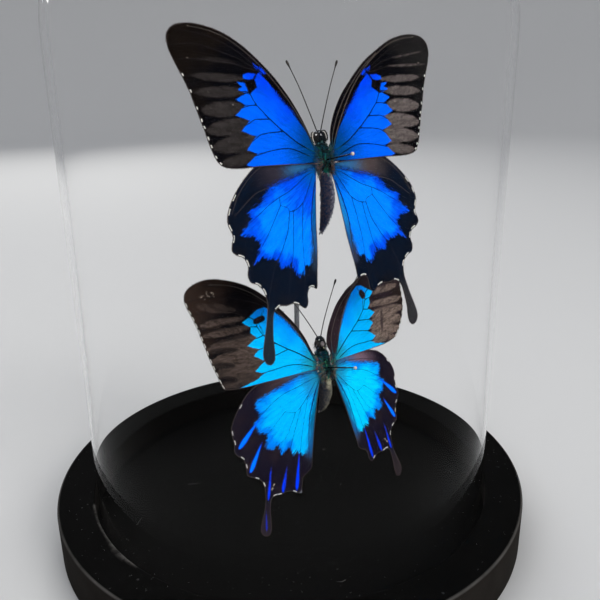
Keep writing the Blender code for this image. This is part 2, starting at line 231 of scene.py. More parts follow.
def hairMesh(roots, ways, lengths, bends, radius, sides):
    # joined tapered hairs: each starts at a root, leaves along its way and bows along its bend
    steps = (0.0, 0.5, 1.0)
    sizes = (1.0, 0.75, 0.08)
    roots, ways, bends = (np.array(v, float) for v in (roots, ways, bends))
    lengths = np.array(lengths, float)[:, None]
    ways = ways / np.linalg.norm(ways, axis=1)[:, None]
    helper = np.where(np.abs(ways[:, 2:3]) > 0.8, [[1.0, 0.0, 0.0]], [[0.0, 0.0, 1.0]])
    across = np.cross(ways, helper)
    across /= np.linalg.norm(across, axis=1)[:, None]
    other = np.cross(ways, across)
    rows = []
    for t, size in zip(steps, sizes):
        middle = roots + ways * lengths * t + bends * lengths * t * t
        for k in range(sides):
            a = 2 * math.pi * k / sides
            rows.append(middle + radius * size * (across * math.cos(a) + other * math.sin(a)))
    per = len(rows)
    faces = [face for h in range(len(roots)) for face in ringFaces(h * per, len(steps), sides, flip=True)]
    return np.stack(rows, 1).reshape(-1, 3), faces, per


def hairObject(name, hairs, radius, material, slot, matrix=None, sides=3):
    # hairs: roots, ways, lengths, bends and tints, where one bend does for all
    *shape, tints = hairs
    verts, faces, per = hairMesh(*shape, radius, sides)
    obj = meshObject(name, verts * mm, faces, material, matrix)
    colourField(obj.data, "tint", np.repeat(tints, per, axis=0))
    return keep(obj, slot)


def turnedMesh(profile, steps):
    # (radius, height) points from the top down the outer side, turned about Z; radius 0 is a pole
    verts, faces, rings = [], [], []
    for radius, height in profile:
        if radius == 0:
            rings.append([len(verts)])
            verts.append((0, 0, height))
        else:
            rings.append(list(range(len(verts), len(verts) + steps)))
            for k in range(steps):
                a = 2 * math.pi * k / steps
                verts.append((radius * math.cos(a), radius * math.sin(a), height))
    for up, down in zip(rings, rings[1:]):
        for k in range(steps):
            n = (k + 1) % steps
            if len(up) == 1:
                faces.append((up[0], down[k], down[n]))
            elif len(down) == 1:
                faces.append((up[k], down[0], up[n]))
            else:
                faces.append((up[k], down[k], down[n], up[n]))
    return np.array(verts), faces


def corner(x, y, radius, start, end, steps=5):
    # profile points round an arc with its middle at (x, y), angles in degrees
    angles = np.radians(np.linspace(start, end, steps + 1))
    return [(x + radius * math.cos(a), y + radius * math.sin(a)) for a in angles]


def keep(piece, slot, *replaced):
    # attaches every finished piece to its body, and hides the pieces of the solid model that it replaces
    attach(piece, body)
    if replaced:
        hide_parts(*replaced)
    return piece


# materials


class Look:
    # a material and the nodes behind it; a value is a number, a colour or what another of these calls gives

    def __init__(self, name):
        self.material = bpy.data.materials.new(name)
        self.material.use_nodes = True
        self.nodes = self.material.node_tree.nodes
        self.shader = self.nodes["Principled BSDF"]

    def join(self, value, socket):
        if isinstance(value, bpy.types.NodeSocket):
            self.material.node_tree.links.new(value, socket)
        else:
            socket.default_value = (*value, 1.0) if isinstance(value, tuple) else value

    def node(self, kind, values, **settings):
        made = self.nodes.new("ShaderNode" + kind)
        for key, value in settings.items():
            setattr(made, key, value)
        for key, value in values.items():
            self.join(value, made.inputs[key])
        return made.outputs

    def read(self, name, output="Fac"):
        return self.node("Attribute", {}, attribute_name=name)[output]

    def where(self):
        return self.node("TexCoord", {})["Object"]

    def calc(self, operation, a, b=0.0, clamp=False):
        return self.node("Math", {0: a, 1: b}, operation=operation, use_clamp=clamp)[0]

    def times(self, a, b):
        return self.calc("MULTIPLY", a, b)

    def add(self, a, b, scale=1):
        # a + b * scale
        return self.calc("ADD", a, b if scale == 1 else self.times(b, scale))

    def mix(self, amount, a, b, mode="MIX"):
        return self.node("Mix", {0: amount, 6: a, 7: b}, data_type="RGBA", blend_type=mode)[2]

    def ease(self, value, low, high, toLow=0, toHigh=1):
        # maps low..high to toLow..toHigh, and keeps to that range
        values = {"Value": value, "From Min": low, "From Max": high, "To Min": toLow, "To Max": toHigh}
        return self.node("MapRange", values, interpolation_type="SMOOTHSTEP")["Result"]

    def grain(self, vector, scale, detail=2, rough=0.5):
        place = {"Vector": vector} if vector else {}
        return self.node("TexNoise", {"Scale": scale, "Detail": detail, "Roughness": rough, **place})["Fac"]

    def speckle(self, *noise):
        # the same grain, round 0
        return self.calc("SUBTRACT", self.grain(*noise), 0.5)

    def bump(self, height, strength, distance):
        values = {"Height": height, "Strength": strength, "Distance": distance * mm}
        self.join(self.node("Bump", values)["Normal"], self.shader.inputs["Normal"])

    def done(self, colour, roughness, specular=0.5, **others):
        # the finished material; the others are sockets of the shader, named without their spaces
        values = {"BaseColor": colour, "Roughness": roughness, "SpecularIORLevel": specular, **others}
        sockets = {socket.name.replace(" ", ""): socket for socket in self.shader.inputs}
        for name, value in values.items():
            self.join(value, sockets[name])
        return self.material


# camera, floor and light

view = {
    "place": (0.0, -244.1, 173.6),
    "yaw": 1.139,  # degrees to the right of straight ahead
    "pitch": 19.22,  # degrees down
    "roll": -0.854,
    "lens": 41.706,
    "sensor": 36.0,
}

studio = {
    "floorColour": (0.66, 0.66, 0.65),
    "floorReach": 1.5,  # metres from the middle to where the floor curves up, all round
    "curveRadius": 0.7,
    "wallHeight": 1.3,
    "skyColour": (0.88, 0.91, 1.0),
    "skyStrength": 0.46,
    # name: place and aim in metres, width, height, watts, colour
    "lamps": {
        "key": ((0.72, -0.78, 0.72), (0.0, 0.0, 0.08), 0.7, 0.7, 7.6, (1.0, 0.98, 0.96)),
        "fill": ((-0.70, -0.60, 0.95), (0.0, 0.0, 0.10), 0.6, 0.6, 1.4, (0.92, 0.96, 1.0)),
        "top": ((-0.10, 0.45, 1.25), (0.0, 0.15, 0.0), 0.9, 0.9, 3.4, (1.0, 1.0, 1.0)),
        "back": ((-0.45, 1.05, 0.62), (0.0, 0.0, 0.12), 0.8, 0.6, 3.6, (1.0, 0.99, 0.97)),
    },
}


def makeCamera(v):
    yaw, pitch, roll = (math.radians(v[k]) for k in ("yaw", "pitch", "roll"))
    ahead = Vector((math.sin(yaw) * math.cos(pitch), math.cos(yaw) * math.cos(pitch), -math.sin(pitch)))
    level = Vector((math.cos(yaw), -math.sin(yaw), 0.0))
    plumb = level.cross(ahead)
    right = level * math.cos(roll) + plumb * math.sin(roll)
    up = plumb * math.cos(roll) - level * math.sin(roll)
    turn = Matrix((right, up, -ahead)).transposed().to_4x4()
    data = bpy.data.cameras.new("camera")
    data.lens = v["lens"]
    data.sensor_width = v["sensor"]
    data.clip_start = 0.01
    camera = bpy.data.objects.new("camera", data)
    bpy.context.scene.collection.objects.link(camera)
    camera.matrix_world = Matrix.Translation(Vector(v["place"]) * mm) @ turn
    bpy.context.scene.camera = camera


def makeStudio(s):
    scene = bpy.context.scene
    scene.view_settings.view_transform = "Standard"
    scene.world = bpy.data.worlds.new("studio")
    scene.world.use_nodes = True
    background = scene.world.node_tree.nodes["Background"]
    background.inputs["Color"].default_value = (*s["skyColour"], 1.0)
    background.inputs["Strength"].default_value = s["skyStrength"]
    # a floor that curves up into a low wall all round
    reach, radius = s["floorReach"], s["curveRadius"]
    profile = [(0.0, 0.0), (0.3, 0.0), (reach, 0.0)]
    turns = np.radians(np.arange(5, 91, 5))
    profile += [(reach + radius * math.sin(a), radius * (1 - math.cos(a))) for a in turns]
    profile.append((reach + radius, s["wallHeight"]))
    verts, faces = turnedMesh(profile, 96)
    paper = Look("floor_paper").done(s["floorColour"], 0.85, 0.2)
    meshObject("floor", verts, [tuple(reversed(f)) for f in faces], paper)
    for name, (place, aim, width, height, watts, colour) in s["lamps"].items():
        data = bpy.data.lights.new(name, "AREA")
        data.shape = "RECTANGLE"
        data.size, data.size_y = width, height
        data.energy = watts
        data.color = colour
        lamp = bpy.data.objects.new(name, data)
        scene.collection.objects.link(lamp)
        lamp.location = place
        lamp.rotation_euler = (Vector(aim) - Vector(place)).to_track_quat("-Z", "Y").to_euler()


makeCamera(view)
makeStudio(studio)
say("camera and studio")

# Wings. A plan is flat, with x away from the body and y to the head, and its left wing is the mirror image.
# blue: loops of (x, y) or (x, y, bow); fingers, darks, specks: leaf shapes; streaks: drops;
# veins: (root width, tip width, points); pale: veins that are worn pale, by number.

upperFore = {
    "outline": [
        (1.2, -1.5), (1.6, 1), (3.2, 5.2), (6, 11.3), (9.5, 17.3), (13.7, 22.7), (18.5, 27.4),
        (24, 31.7), (30, 35), (35.5, 36.7), (41, 37.4), (45.6, 36.7), (48.2, 34.6), (48.8, 31.6),
        (47.9, 28), (45.9, 23.1), (44.3, 18.7), (42.8, 13), (41.3, 7.6), (40.2, 3), (39, -0.3),
        (37.6, -2.2), (35.3, -3.1), (31, -3.5), (24, -3.4), (14, -3.5), (6, -3.8), (1.8, -3.7),
    ],
    "blue": [
        [(1.9, 0.2), (3.6, 4.2), (5, 7), (7.5, 10.2), (9.3, 12.9), (12.3, 16.1), (14, 18.5),
         (16.4, 21.4), (18.3, 23.2), (19.6, 24.2), (20.4, 23.4), (21.2, 21.8), (20.6, 19.9), (22.2, 19),
         (23.7, 17.8, 0.09), (29.2, 16.4, -0.07), (24.3, 14.7, 0.1), (30, 11.8, -0.08),
         (23.4, 10.4, 0.1), (28.8, 7.2, -0.1), (21.7, 6, 0.1), (27.8, 1.7, -0.1),
         (21.6, 0.5, 0.1), (28.9, -2.7), (27.2, -3.25), (16.5, -3.35), (7.5, -3.6), (2.2, -3.2)],
        [(20.2, 22.9), (20.8, 23.8), (23.2, 24.1), (25.2, 23.5), (25.4, 22.5), (23.6, 22.1), (21.8, 22.4)],
        [(24.2, 18.7), (25.2, 21.2), (27.8, 21.4), (26, 20), (28, 19.2), (25.6, 18.2)],
        [(17.2, 23.8), (18.8, 25.4), (21.2, 27), (20.8, 25.6), (19.4, 24.4), (18.2, 23.8)],
        [(16.6, 23.8), (17.4, 25), (18.8, 26.4), (18.5, 25.2), (17.8, 24.2)],
    ],
    "cuts": [  # thin dark lines and the dark spot at the end of the cell: (width, points)
        (2.3, [(22, 21.2), (23.6, 20.2)]),
        (0.5, [(19.2, 25), (21.4, 22.6), (21.9, 21.6)]),
        (0.35, [(25.4, 22.3), (24, 19.6)]),
        (0.3, [(17.6, 23), (19.4, 25.6)]),
    ],
    "fingers": [
        (39.6, 28, 26.8, 26.9, 0.75), (43, 23, 25, 22.3, 1.25), (42.6, 18.3, 25.2, 18.7, 1.6),
        (41.4, 13.2, 26.4, 13.9, 2.3), (40.7, 7.6, 24, 9.4, 2.35), (39.6, 2.6, 23, 4.6, 2.35),
        (37.2, -1.8, 24, -0.5, 1.7), (33.5, 5.6, 24, 6.4, 1.2), (32.5, 1.6, 24, 2, 1.2),
    ],
    "glints": [(38.3, 18.5), (43.2, 27.9), (41.5, 36.6), (30.4, 14.9)],
    "fingerStrength": [0.45, 0.8, 0.9, 1, 1, 1, 0.9, 0.7, 0.7],
    "veins": [
        (0.4, 0.22, [(2.2, 0), (4.2, 0.7), (8.7, 3.1), (13.4, 6.6), (17.8, 10.4), (21.9, 14.7),
                     (23.7, 17.9)]),
        (0.26, 0.1, [(21.9, 14.6), (24.3, 14.6), (28.2, 13.9), (40.8, 13.2), (42.6, 13)]),
        (0.26, 0.1, [(17.8, 10.4), (23.4, 10.4), (27.3, 8.9), (40.1, 7.6), (41.2, 7.4)]),
        (0.26, 0.1, [(13.4, 6.6), (21.7, 6), (26.4, 3.9), (39, 2.5), (39.9, 2.3)]),
        (0.3, 0.1, [(4.2, -1.5), (11.8, 1.3), (19.6, 0.9), (21.6, 0.5), (29.1, -0.9), (37.4, -1.9)]),
        (0.24, 0.1, [(23.7, 17.9), (25.2, 18.6), (42.2, 18.2), (44.1, 18.2)]),
        (0.24, 0.1, [(23.7, 17.9), (24.7, 20.8), (26.4, 22.3), (42.8, 22.9), (45.6, 22.8)]),
        (0.24, 0.12, [(19.2, 24.6), (24.4, 25.6), (29.8, 26.8), (40, 27.6), (47.2, 27.4)]),
        (0.24, 0.12, [(19.2, 24.6), (26, 28), (32.5, 29.9), (40, 31.8), (48.3, 31.2)]),
        (0.24, 0.12, [(16.8, 23), (24, 28.6), (31, 32.4), (38, 34.6), (45, 35.6)]),
        (0.36, 0.12, [(1.8, 0.8), (2.8, 3.6), (5.6, 9.2), (9, 14.9), (13.2, 20.6), (18, 25.7), (23.6, 30.2),
                      (29.8, 33.9), (35.6, 35.8), (41, 36.5)]),
    ],
    "pale": [10],  # the veins that show pale
    "dashes": [
        (45.5, 23.3), (44.1, 18.7), (42.5, 14), (41.8, 10.7), (41.1, 8.7), (40.3, 5.5), (39.7, 3.3),
        (38.8, 0.1), (37.7, -1.6),
    ],
    "dashLength": 0.8,
    "dashWidth": 1,
}
upperForeRight = dict(upperFore)
upperForeRight["fingers"] = [
    (46.6, 27.4, 29, 26.7, 0.36), (45.4, 31.8, 31, 29.4, 0.28), *upperFore["fingers"][1:],
]
upperForeRight["fingerStrength"] = [0.85, 0.75, *upperFore["fingerStrength"][1:]]
upperForeRight["blue"] = [
    [(x - 0.8 if x > 27 else x, *rest) for x, *rest in upperFore["blue"][0]], *upperFore["blue"][1:],
]
upperForeRight["cuts"] = [(1.7, [(22.6, 21.1), (23.8, 20.3)]), *upperFore["cuts"][1:]]
upperForeRight["veins"] = [
    *upperFore["veins"],
    (0.24, 0.08, [(1.2, 0.6), (1.9, 4.6), (4.4, 10.4), (8.2, 16.3), (12.9, 21.7), (18.1, 26.8), (24, 31)]),
]
upperForeRight["pale"] = [10, 11]
upperForeRight["outline"] = [
    (0.8, -1.5), (0.7, 2.4), (1.3, 6.5), (3.6, 11.9), (7.5, 17.7), (12.6, 22.9), (18.3, 28),
    *upperFore["outline"][7:-1], (1.4, -3.8),
]

upperHind = {
    "outline": [
        (0.9, 1.2), (6, 3.6), (13, 4.4), (19.5, 3.6), (24.1, 1.9), (28.3, -1.1), (32, -4.6),
        (34.9, -8.2), (36.6, -11.6), (37, -14.3), (35.9, -17.8), (36.6, -20), (37, -22.1),
        (35.5, -23.5), (33.4, -24.6), (32.3, -27.2), (32.9, -30), (32.2, -32.1), (29.9, -33.2),
        (28, -35.6), (27.5, -39.5), (28.7, -44.8), (30, -48.7), (31.3, -52.5), (31.8, -55),
        (31, -57.2), (29.4, -58), (27.9, -56.9), (27.4, -54.4), (27.3, -50.5), (26.7, -46.6),
        (26, -43.6), (24.9, -41.9), (22.8, -40.9), (20.3, -41.3), (17.4, -41.1), (15.2, -42),
        (13.2, -43.4), (11.8, -42.1), (11.4, -39), (10.2, -37.3), (8.8, -37.3), (7.3, -38),
        (6.6, -34), (5, -25.5), (3.7, -16.5), (2.2, -7), (1.2, -2),
    ],
    "blue": [
        [(0.8, 0.2), (5.7, -0.9), (10.2, -2.4), (15.6, -3.5), (20.2, -4.9), (22.2, -7.2), (24.4, -9.4),
         (29.2, -11.4), (28.4, -13.5), (33.1, -17.7), (29, -18.7), (26.4, -20.9), (29.8, -26.6),
         (27, -25.5), (24.4, -26.3), (21.3, -26.5), (20.4, -30), (19, -29.2), (17.6, -29.5),
         (16, -28.7), (15.2, -31.4), (13.7, -33), (11.9, -32.4), (10.6, -30.4), (9.4, -30.4),
         (8.3, -29.6), (7.2, -27.5), (6.3, -21), (5.5, -16), (3.9, -10.2), (2.2, -5.6), (1.2, -2)],
    ],
    "inner": [(1.1, -1.8), (2.6, -6), (4.2, -10), (5.7, -16.2), (6.2, -21), (6.3, -27), (6.1, -31),
              (5.4, -26.5), (4.2, -18), (2.5, -8)],
    "band": [(0.6, 0.8), (8, 3.6), (18, 3.8), (24.5, 1.6), (28.6, -1.4), (26, -5), (20.2, -4.4),
             (12, -2.2), (5, -0.2)],
    "veins": [
        (0.28, 0.12, [(2.4, -1.4), (5.5, -2.3), (12.1, -6.2), (17.1, -8.1), (21.1, -9.9), (28.6, -14.2),
                      (34.8, -17.4)]),
        (0.2, 0.18, [(17.1, -8.1), (17.1, -10.5), (14.6, -11.6), (14.1, -12.95)]),
        (0.28, 0.24, [(3, -2.6), (7.1, -9.2), (8.5, -10.7), (10.9, -12.3), (14.1, -12.95)]),
        (0.22, 0.1, [(17.1, -10.5), (20, -14.4), (23.4, -18.8), (27.4, -23.2), (31.2, -28), (32.3, -31.6)]),
        (0.26, 0.12, [(14.1, -12.95), (15.7, -18.4), (17.9, -22.2), (20.3, -25.8), (22.8, -28.9),
                      (24.2, -32.2), (26, -36.2), (28.3, -45), (29.4, -55.6)]),
        (0.22, 0.1, [(12.4, -12.7), (14.8, -24.7), (16, -28.5), (17.1, -31.1), (18.6, -37.5), (19.6, -41)]),
        (0.22, 0.1, [(8.2, -10.4), (9.8, -18), (10.9, -26), (11.3, -32.4), (12.1, -36.4), (13.2, -42.6)]),
        (0.52, 0.16, [(2.2, -4.6), (4.2, -10.1), (5.8, -16.5), (6.2, -21), (6.3, -26.4), (7.2, -34)]),
        (0.26, 0.12, [(2.4, -0.6), (7.8, -1.7), (17.4, -4.1), (25.2, -6), (29.2, -8.4), (34.2, -12)]),
        (0.22, 0.16, [(16, 3), (20.6, 2.2), (25.5, -0.2), (29.5, -3.4), (32.6, -6.9), (35.2, -11.4)]),
    ],
    "pale": [8, 9],
    "dashes": [
        (33.5, -6.9), (36, -10.8), (36.7, -15.5), (36.1, -18.6), (34.2, -24), (32.5, -26.3),
        (29.9, -33.2), (28, -35.8), (23.8, -41.2), (16.4, -41.4), (9.5, -37.4),
    ],
    "dashLength": 2,
    "dashWidth": 0.8,
}

lowerFore = {
    "outline": [
        (1.6, -1.6), (2.3, 1), (3.9, 5.6), (5.7, 10.4), (8.7, 15.7), (12.8, 21), (18.1, 26.7),
        (24.3, 31.5), (31.4, 34.7), (38, 36.2), (43, 35.5), (46, 33.8), (47.1, 31.4), (46.7, 28.8),
        (45, 23.4), (43.3, 16.2), (41.9, 9.9), (40.4, 4.8), (39.3, 0.9), (37.8, -0.6), (31.8, -1.4),
        (25, -1.6), (15, -1.8), (6.4, -2), (2.2, -2.2),
    ],
    "blue": [
        [(1.9, -0.4), (3.4, 3), (5.3, 6.7), (7.4, 10.2), (9.6, 13.6), (12.3, 17.6), (15.8, 21.2),
         (19.2, 23.4), (22, 23.3), (25.4, 21.4), (28.4, 20), (25.6, 17.7), (26, 15.9), (23.7, 13.8, 0.06),
         (27.9, 11.9, -0.06), (22.8, 10, 0.06), (26.3, 8.2, -0.06), (21.4, 5.6, 0.07), (26.6, 2.9, -0.06),
         (22.6, 1.5, 0.05), (26.5, 0), (33.8, -1.4), (26.5, -1.6), (16, -1.7), (6.5, -1.9), (2.2, -2)],
    ],
    "cuts": [
        (2.2, [(20.7, 19.9), (23.3, 19.5)]),
        (0.35, [(19.8, 22.6), (21.2, 20.6)]),
        (0.3, [(22.6, 18.8), (22, 17.4), (20.9, 13.9)]),
    ],
    "fingers": [
        (43.6, 28.4, 30, 24.6, 1.6), (43.8, 22, 27.4, 21.4, 1.5), (43.4, 18.4, 25, 18.2, 1.4),
        (43, 13.6, 21, 14.2, 2.4), (42.2, 9, 19, 10.4, 3), (41.2, 5, 18, 5.6, 3),
        (39.6, 1.2, 20, 1.6, 2.4),
    ],
    "fingerStrength": [0.4, 0.9, 1, 1, 1, 0.85, 0.55],
    "darks": [
        (44.6, 20.2, 23, 19.8, 0.9), (42.4, 16.2, 23, 15.7, 0.9), (42.2, 13.2, 31.5, 11.6, 1),
        (41.6, 8.6, 33.5, 6.6, 0.95), (40.2, 3.8, 33.5, 1.6, 1.05), (42.6, 24.6, 30, 22.6, 0.6),
    ],
    "specks": [(42, 31, 40.4, 31.4, 0.16), (39.6, 32.4, 38.8, 30.6, 0.16), (38, 32.2, 36.6, 31.4, 0.18),
               (37.2, 30.9, 36.7, 30.2, 0.14)],
    "glints": [(41.2, 31), (40.2, 30.2), (39, 32.4), (37.6, 31.9), (37, 31.2), (36.8, 30.3), (38.4, 30.8)],
    "veins": [
        (0.4, 0.22, [(2.4, 0.2), (5.4, 2.4), (8.9, 5), (12.8, 7.5), (17.3, 10.6), (21.4, 14.3),
                     (23.2, 17.6)]),
        (0.24, 0.1, [(21.4, 14.3), (24.4, 13.8), (32, 14.4), (43, 14.4)]),
        (0.24, 0.1, [(17.3, 10.6), (22.8, 10), (30, 9.6), (41.8, 9.4)]),
        (0.24, 0.1, [(12.8, 7.5), (21.8, 5.9), (30, 4.8), (40.2, 4.2)]),
        (0.26, 0.1, [(4.4, -0.6), (12, 1.8), (22.4, 1.7), (38.6, 0.6)]),
        (0.24, 0.1, [(23.2, 17.6), (32, 19), (44.4, 20.6)]),
        (0.24, 0.1, [(23.2, 17.6), (24.4, 20.6), (34, 24.8), (45.8, 26.2)]),
        (0.24, 0.12, [(19.4, 24), (27, 27.4), (36, 30.2), (46.6, 30.6)]),
        (0.24, 0.12, [(17, 22.6), (24, 28.4), (32, 32.2), (40, 34.6)]),
        (0.42, 0.2, [(2.8, 1), (4.4, 4.8), (6.4, 9.4), (9.4, 14.6), (13.6, 19.9), (18.6, 25.2), (24.4, 29.8),
                      (31, 33), (38, 34.6)]),
    ],
    "pale": [9],
    "dashes": [
        (46.9, 29.4), (46.2, 26.9), (45.5, 24.6), (44.9, 22.4), (44.3, 20.2), (43.8, 17.8), (43.1, 15.3),
        (42.6, 12.8), (41.9, 10.1), (41.3, 7.6), (40.6, 5.2), (39.9, 2.6), (39.2, 0.6),
    ],
    "dashLength": 1.5,
    "dashWidth": 0.5,
}
lowerForeRight = dict(lowerFore)
lowerForeRight["outline"] = [
    (0.5, -1.1), (-0.1, 2.4), (-1.2, 4.9), (-1, 7.5), (0.6, 11.1), (3.6, 15.3), (7.2, 19),
    (12.9, 22.7), (19.1, 25.4), (25.5, 28.9), (32, 31.9), (38.5, 33.4), (43.6, 32.9), (46.4, 30.6),
    (47.2, 27), (46.7, 22.5), (46.3, 18.5), (46.5, 14.8), (46.2, 11.4), (44.6, 7), (41.3, 2.4),
    (38, 0), (31.8, -1.1), (24, -1.3), (15.5, -1.3), (6, -1.3), (1.6, -1.4),
]
lowerForeRight["fingers"] = [
    (44.2, 20.4, 27, 19.3, 1.35), (46, 15, 24.6, 15, 1.5), (46, 11, 24, 11.4, 2.3),
    (44.2, 7, 22, 7.6, 2.9), (42, 3.4, 21.6, 3.8, 2.6), (39, 0.6, 24, 1, 1.3),
]
lowerForeRight["fingerStrength"] = [0.75, 0.85, 1, 1, 1, 0.9]
lowerForeRight["darks"] = [
    (44.6, 17.4, 24.6, 17, 0.9), (43.4, 13.2, 24, 13.1, 0.35), (32.3, 12.4, 30.9, 3.8, 0.8),
    (45.6, 9, 40.6, 9.4, 0.5), (43.4, 5, 38.4, 5.4, 0.6), (34.6, 1.2, 33.4, -0.6, 0.5),
]
lowerForeRight["cuts"] = [(2.8, [(21.7, 20.4), (22.5, 19.4)]), *lowerFore["cuts"][1:]]
lowerForeRight["veins"] = [
    *lowerFore["veins"],
    (0.26, 0.1, [(1, 0.8), (1, 4.6), (1.3, 7.6), (3.4, 11.6), (6.4, 15.6), (10.4, 19.4), (16.4, 23),
                  (23, 26.6), (30, 30)]),
]
lowerForeRight["pale"] = [9, 10]
lowerForeRight["specks"] = []
lowerForeRight["glints"] = []

lowerHind = {
    "outline": [
        (0.2, 1.4), (5, 4.2), (15, 4.5), (24.3, 3.2), (29.8, 0.9), (33.6, -2.7), (35.9, -6.1),
        (36.6, -9), (36.3, -12.8), (37.5, -16.6), (36.5, -18.9), (34.7, -21.2), (34.2, -24.2),
        (34.4, -26.5), (32.3, -27.8), (29.9, -29.6), (29.1, -32.8), (29.5, -36.5), (30.5, -39.8),
        (32.1, -43.4), (33, -46), (32.3, -48.1), (30.7, -48.8), (29.3, -47.6), (28.8, -44.6),
        (28.4, -40.3), (27.5, -37.1), (25.8, -36.1), (23.6, -36.4), (21, -36.2), (18.6, -36.9),
        (16.4, -38.2), (14.9, -36.8), (14.1, -33.6), (12.4, -32.4), (10, -31), (8.9, -27),
        (7.3, -21), (4.8, -12.5), (2.6, -5.5), (1.4, -1.5),
    ],
    "blue": [
        [(0.6, 1.2), (4, 2.2), (9.2, 2), (15.5, 0.5), (21.7, -0.9), (27.8, -2.8), (27.6, -5.3), (26.4, -7.6),
         (29.2, -10), (28, -13.2), (25, -14.5), (26.2, -19), (24.6, -20.4), (21.6, -19.2),
         (20.8, -23), (19.4, -21.9), (17.2, -21.4), (16.4, -24.4), (15.2, -23.2), (13.8, -24),
         (12.6, -25.4), (10, -25.6), (9, -21), (7.4, -13.2), (4, -5.4), (1.4, -1.4)],
    ],
    "inner": [(1, -0.8), (4, -5), (7.5, -12.9), (9.2, -20.5), (10, -25.8), (9.4, -27), (7.8, -20.8),
              (5.3, -12.4), (2.8, -4.8)],
    "specks": [(25.2, -32, 25.9, -32.7, 0.25), (26, -33, 26.9, -34, 0.3)],
    "streaks": [
        (26.6, -8.2, 36.4, -16.7, 0.92), (27.4, -16.4, 33.6, -25.7, 0.86), (25.6, -25.6, 28.6, -37, 0.5),
        (19.6, -27.4, 22.7, -36.2, 0.66), (14, -24.4, 17.1, -37.2, 0.66),
    ],
    "bright": 2,  # how many of the streaks are bright
    "band": [(0.4, 1.6), (6, 4), (18, 4.2), (25, 2.6), (29.6, -0.2), (28.6, -3.2), (22, -0.9),
             (15.5, 0.6), (8, 2.2)],
    "veins": [
        (0.2, 0.08, [(2.4, 0.2), (6.2, -0.5), (11.3, -1.6), (18.5, -3.2), (27, -7.8), (35.8, -13)]),
        (0.24, 0.06, [(3, -1.2), (8.3, -6.6), (12.9, -9.9), (17.4, -8.4), (18.6, -6.4)]),
        (0.1, 0.08, [(17.2, -8.8), (23, -13.2), (28, -16.4), (34.6, -21.6)]),
        (0.1, 0.1, [(12.9, -9.9), (18, -17.4), (22.8, -20.5), (26.9, -30.7), (30, -38.4), (31, -47)]),
        (0.12, 0.1, [(10.2, -8.2), (14.6, -16.6), (18, -23.4), (20.2, -29.2), (22.2, -36)]),
        (0.12, 0.1, [(7, -5.6), (10.6, -15), (13.7, -24.7), (14.8, -30.9), (16.4, -37.4)]),
        (0.5, 0.16, [(2, -1.9), (4.1, -5.4), (7.6, -13), (9.3, -20.5), (10.2, -25.8), (11.6, -31.6)]),
        (0.2, 0.1, [(2.4, 1.2), (8, 2.4), (17, 1.4), (25, -0.6), (33, -5.4)]),
    ],
    "dashes": [
        (33.3, -2.8), (36.6, -10.7), (36.6, -14), (35.7, -20), (34.5, -22.9), (31.5, -28.2),
        (29.4, -31), (25.6, -36.2), (23.9, -36.3), (17.9, -37.2),
    ],
    "dashLength": 1.5,
    "dashWidth": 0.7,
}
lowerHindLeft = dict(lowerHind)
lowerHindLeft["streaks"] = [*lowerHind["streaks"], (30, -39.6, 31, -47, 0.24)]  # one more, in its tail
lowerHindLeft["outline"] = [
    *lowerHind["outline"][:5],
    (33.7, -2.9), (36.5, -6.6), (37.8, -9.4), (37.8, -12.2), (37.5, -14.3), (38, -16.8), (37.1, -18.7),
    (35.4, -20.3), (34.7, -23.1), (34.7, -26.2),
    *lowerHind["outline"][14:],
]

for plan in (upperFore, upperForeRight, upperHind, lowerFore, lowerForeRight, lowerHind, lowerHindLeft):
    for key in ("cuts", "fingers", "fingerStrength", "darks", "inner", "glints", "streaks", "band", "specks",
                "pale"):
        plan.setdefault(key, [])
    plan.setdefault("bright", 0)  # how many of the streaks have a bright core

wingCloth = {
    "spacing": 0.42,  # between the points of the mesh
    "thickness": 0.08,
    "pleat": 0.10,  # how far the skin sinks between veins
    "pleatReach": 1.6,  # and how far from a vein it is at its lowest
    "wave": 0.12,
    "veinSides": 6,
    "rimRadius": 0.075,
    "fringeStep": 0.16,
    "hairRadius": 0.06,
    "darkHair": 0.35,  # length
    "whiteHairs": 9,  # at each step of a dash
    "whiteRise": 0.15,  # above the dark ones
    "freeFrom": {"fore": 12, "hind": (22, -20)},  # the fringe starts at this x, or also below this y
    "whiteInset": {"left": 0.44, "right": 0.60},  # how far in they start, as a share of the dash's width
}
far = 9.0  # in the painted distances, stands for nowhere near

# place in mm, then degrees; each seat is out, up, lift, dihedral, twist, sweep, as in the solid model
specimens = {
    "upper": {
        "place": (12.9, -17.0, 143.2), "yaw": 33.3, "pitch": 13.6, "roll": 0.8,
        "wings": {
            "forewing_left": (upperFore, (2.1, 2.0, 1.0, -4.8, -1.2, -0.4)),
            "forewing_right": (upperForeRight, (2.7, 2.0, -0.1, -0.2, 0.4, 0.4)),
            "hindwing_left": (upperHind, (2.9, -3.0, 0.2, -4.8, -1.2, -0.4)),
            "hindwing_right": (upperHind, (1.8, -3.0, -0.9, -0.2, 0.4, 0.4)),
        },
    },
    "lower": {
        "place": (13.5, -15.7, 69.1), "yaw": 36.7, "pitch": 18.7, "roll": 1.0,
        "wings": {
            "forewing_left": (lowerFore, (2.0, 2.0, 1.0, 5.4, 3.2, -0.8)),
            "forewing_right": (lowerForeRight, (3.0, 2.0, 0.2, 9.0, 3.6, 0.8)),
            "hindwing_left": (lowerHindLeft, (2.6, -3.0, 0.2, 5.4, 3.2, -1.5)),
            "hindwing_right": (lowerHind, (2.1, -3.0, -0.6, 9.0, 3.6, 1.5)),
        },
    },
}
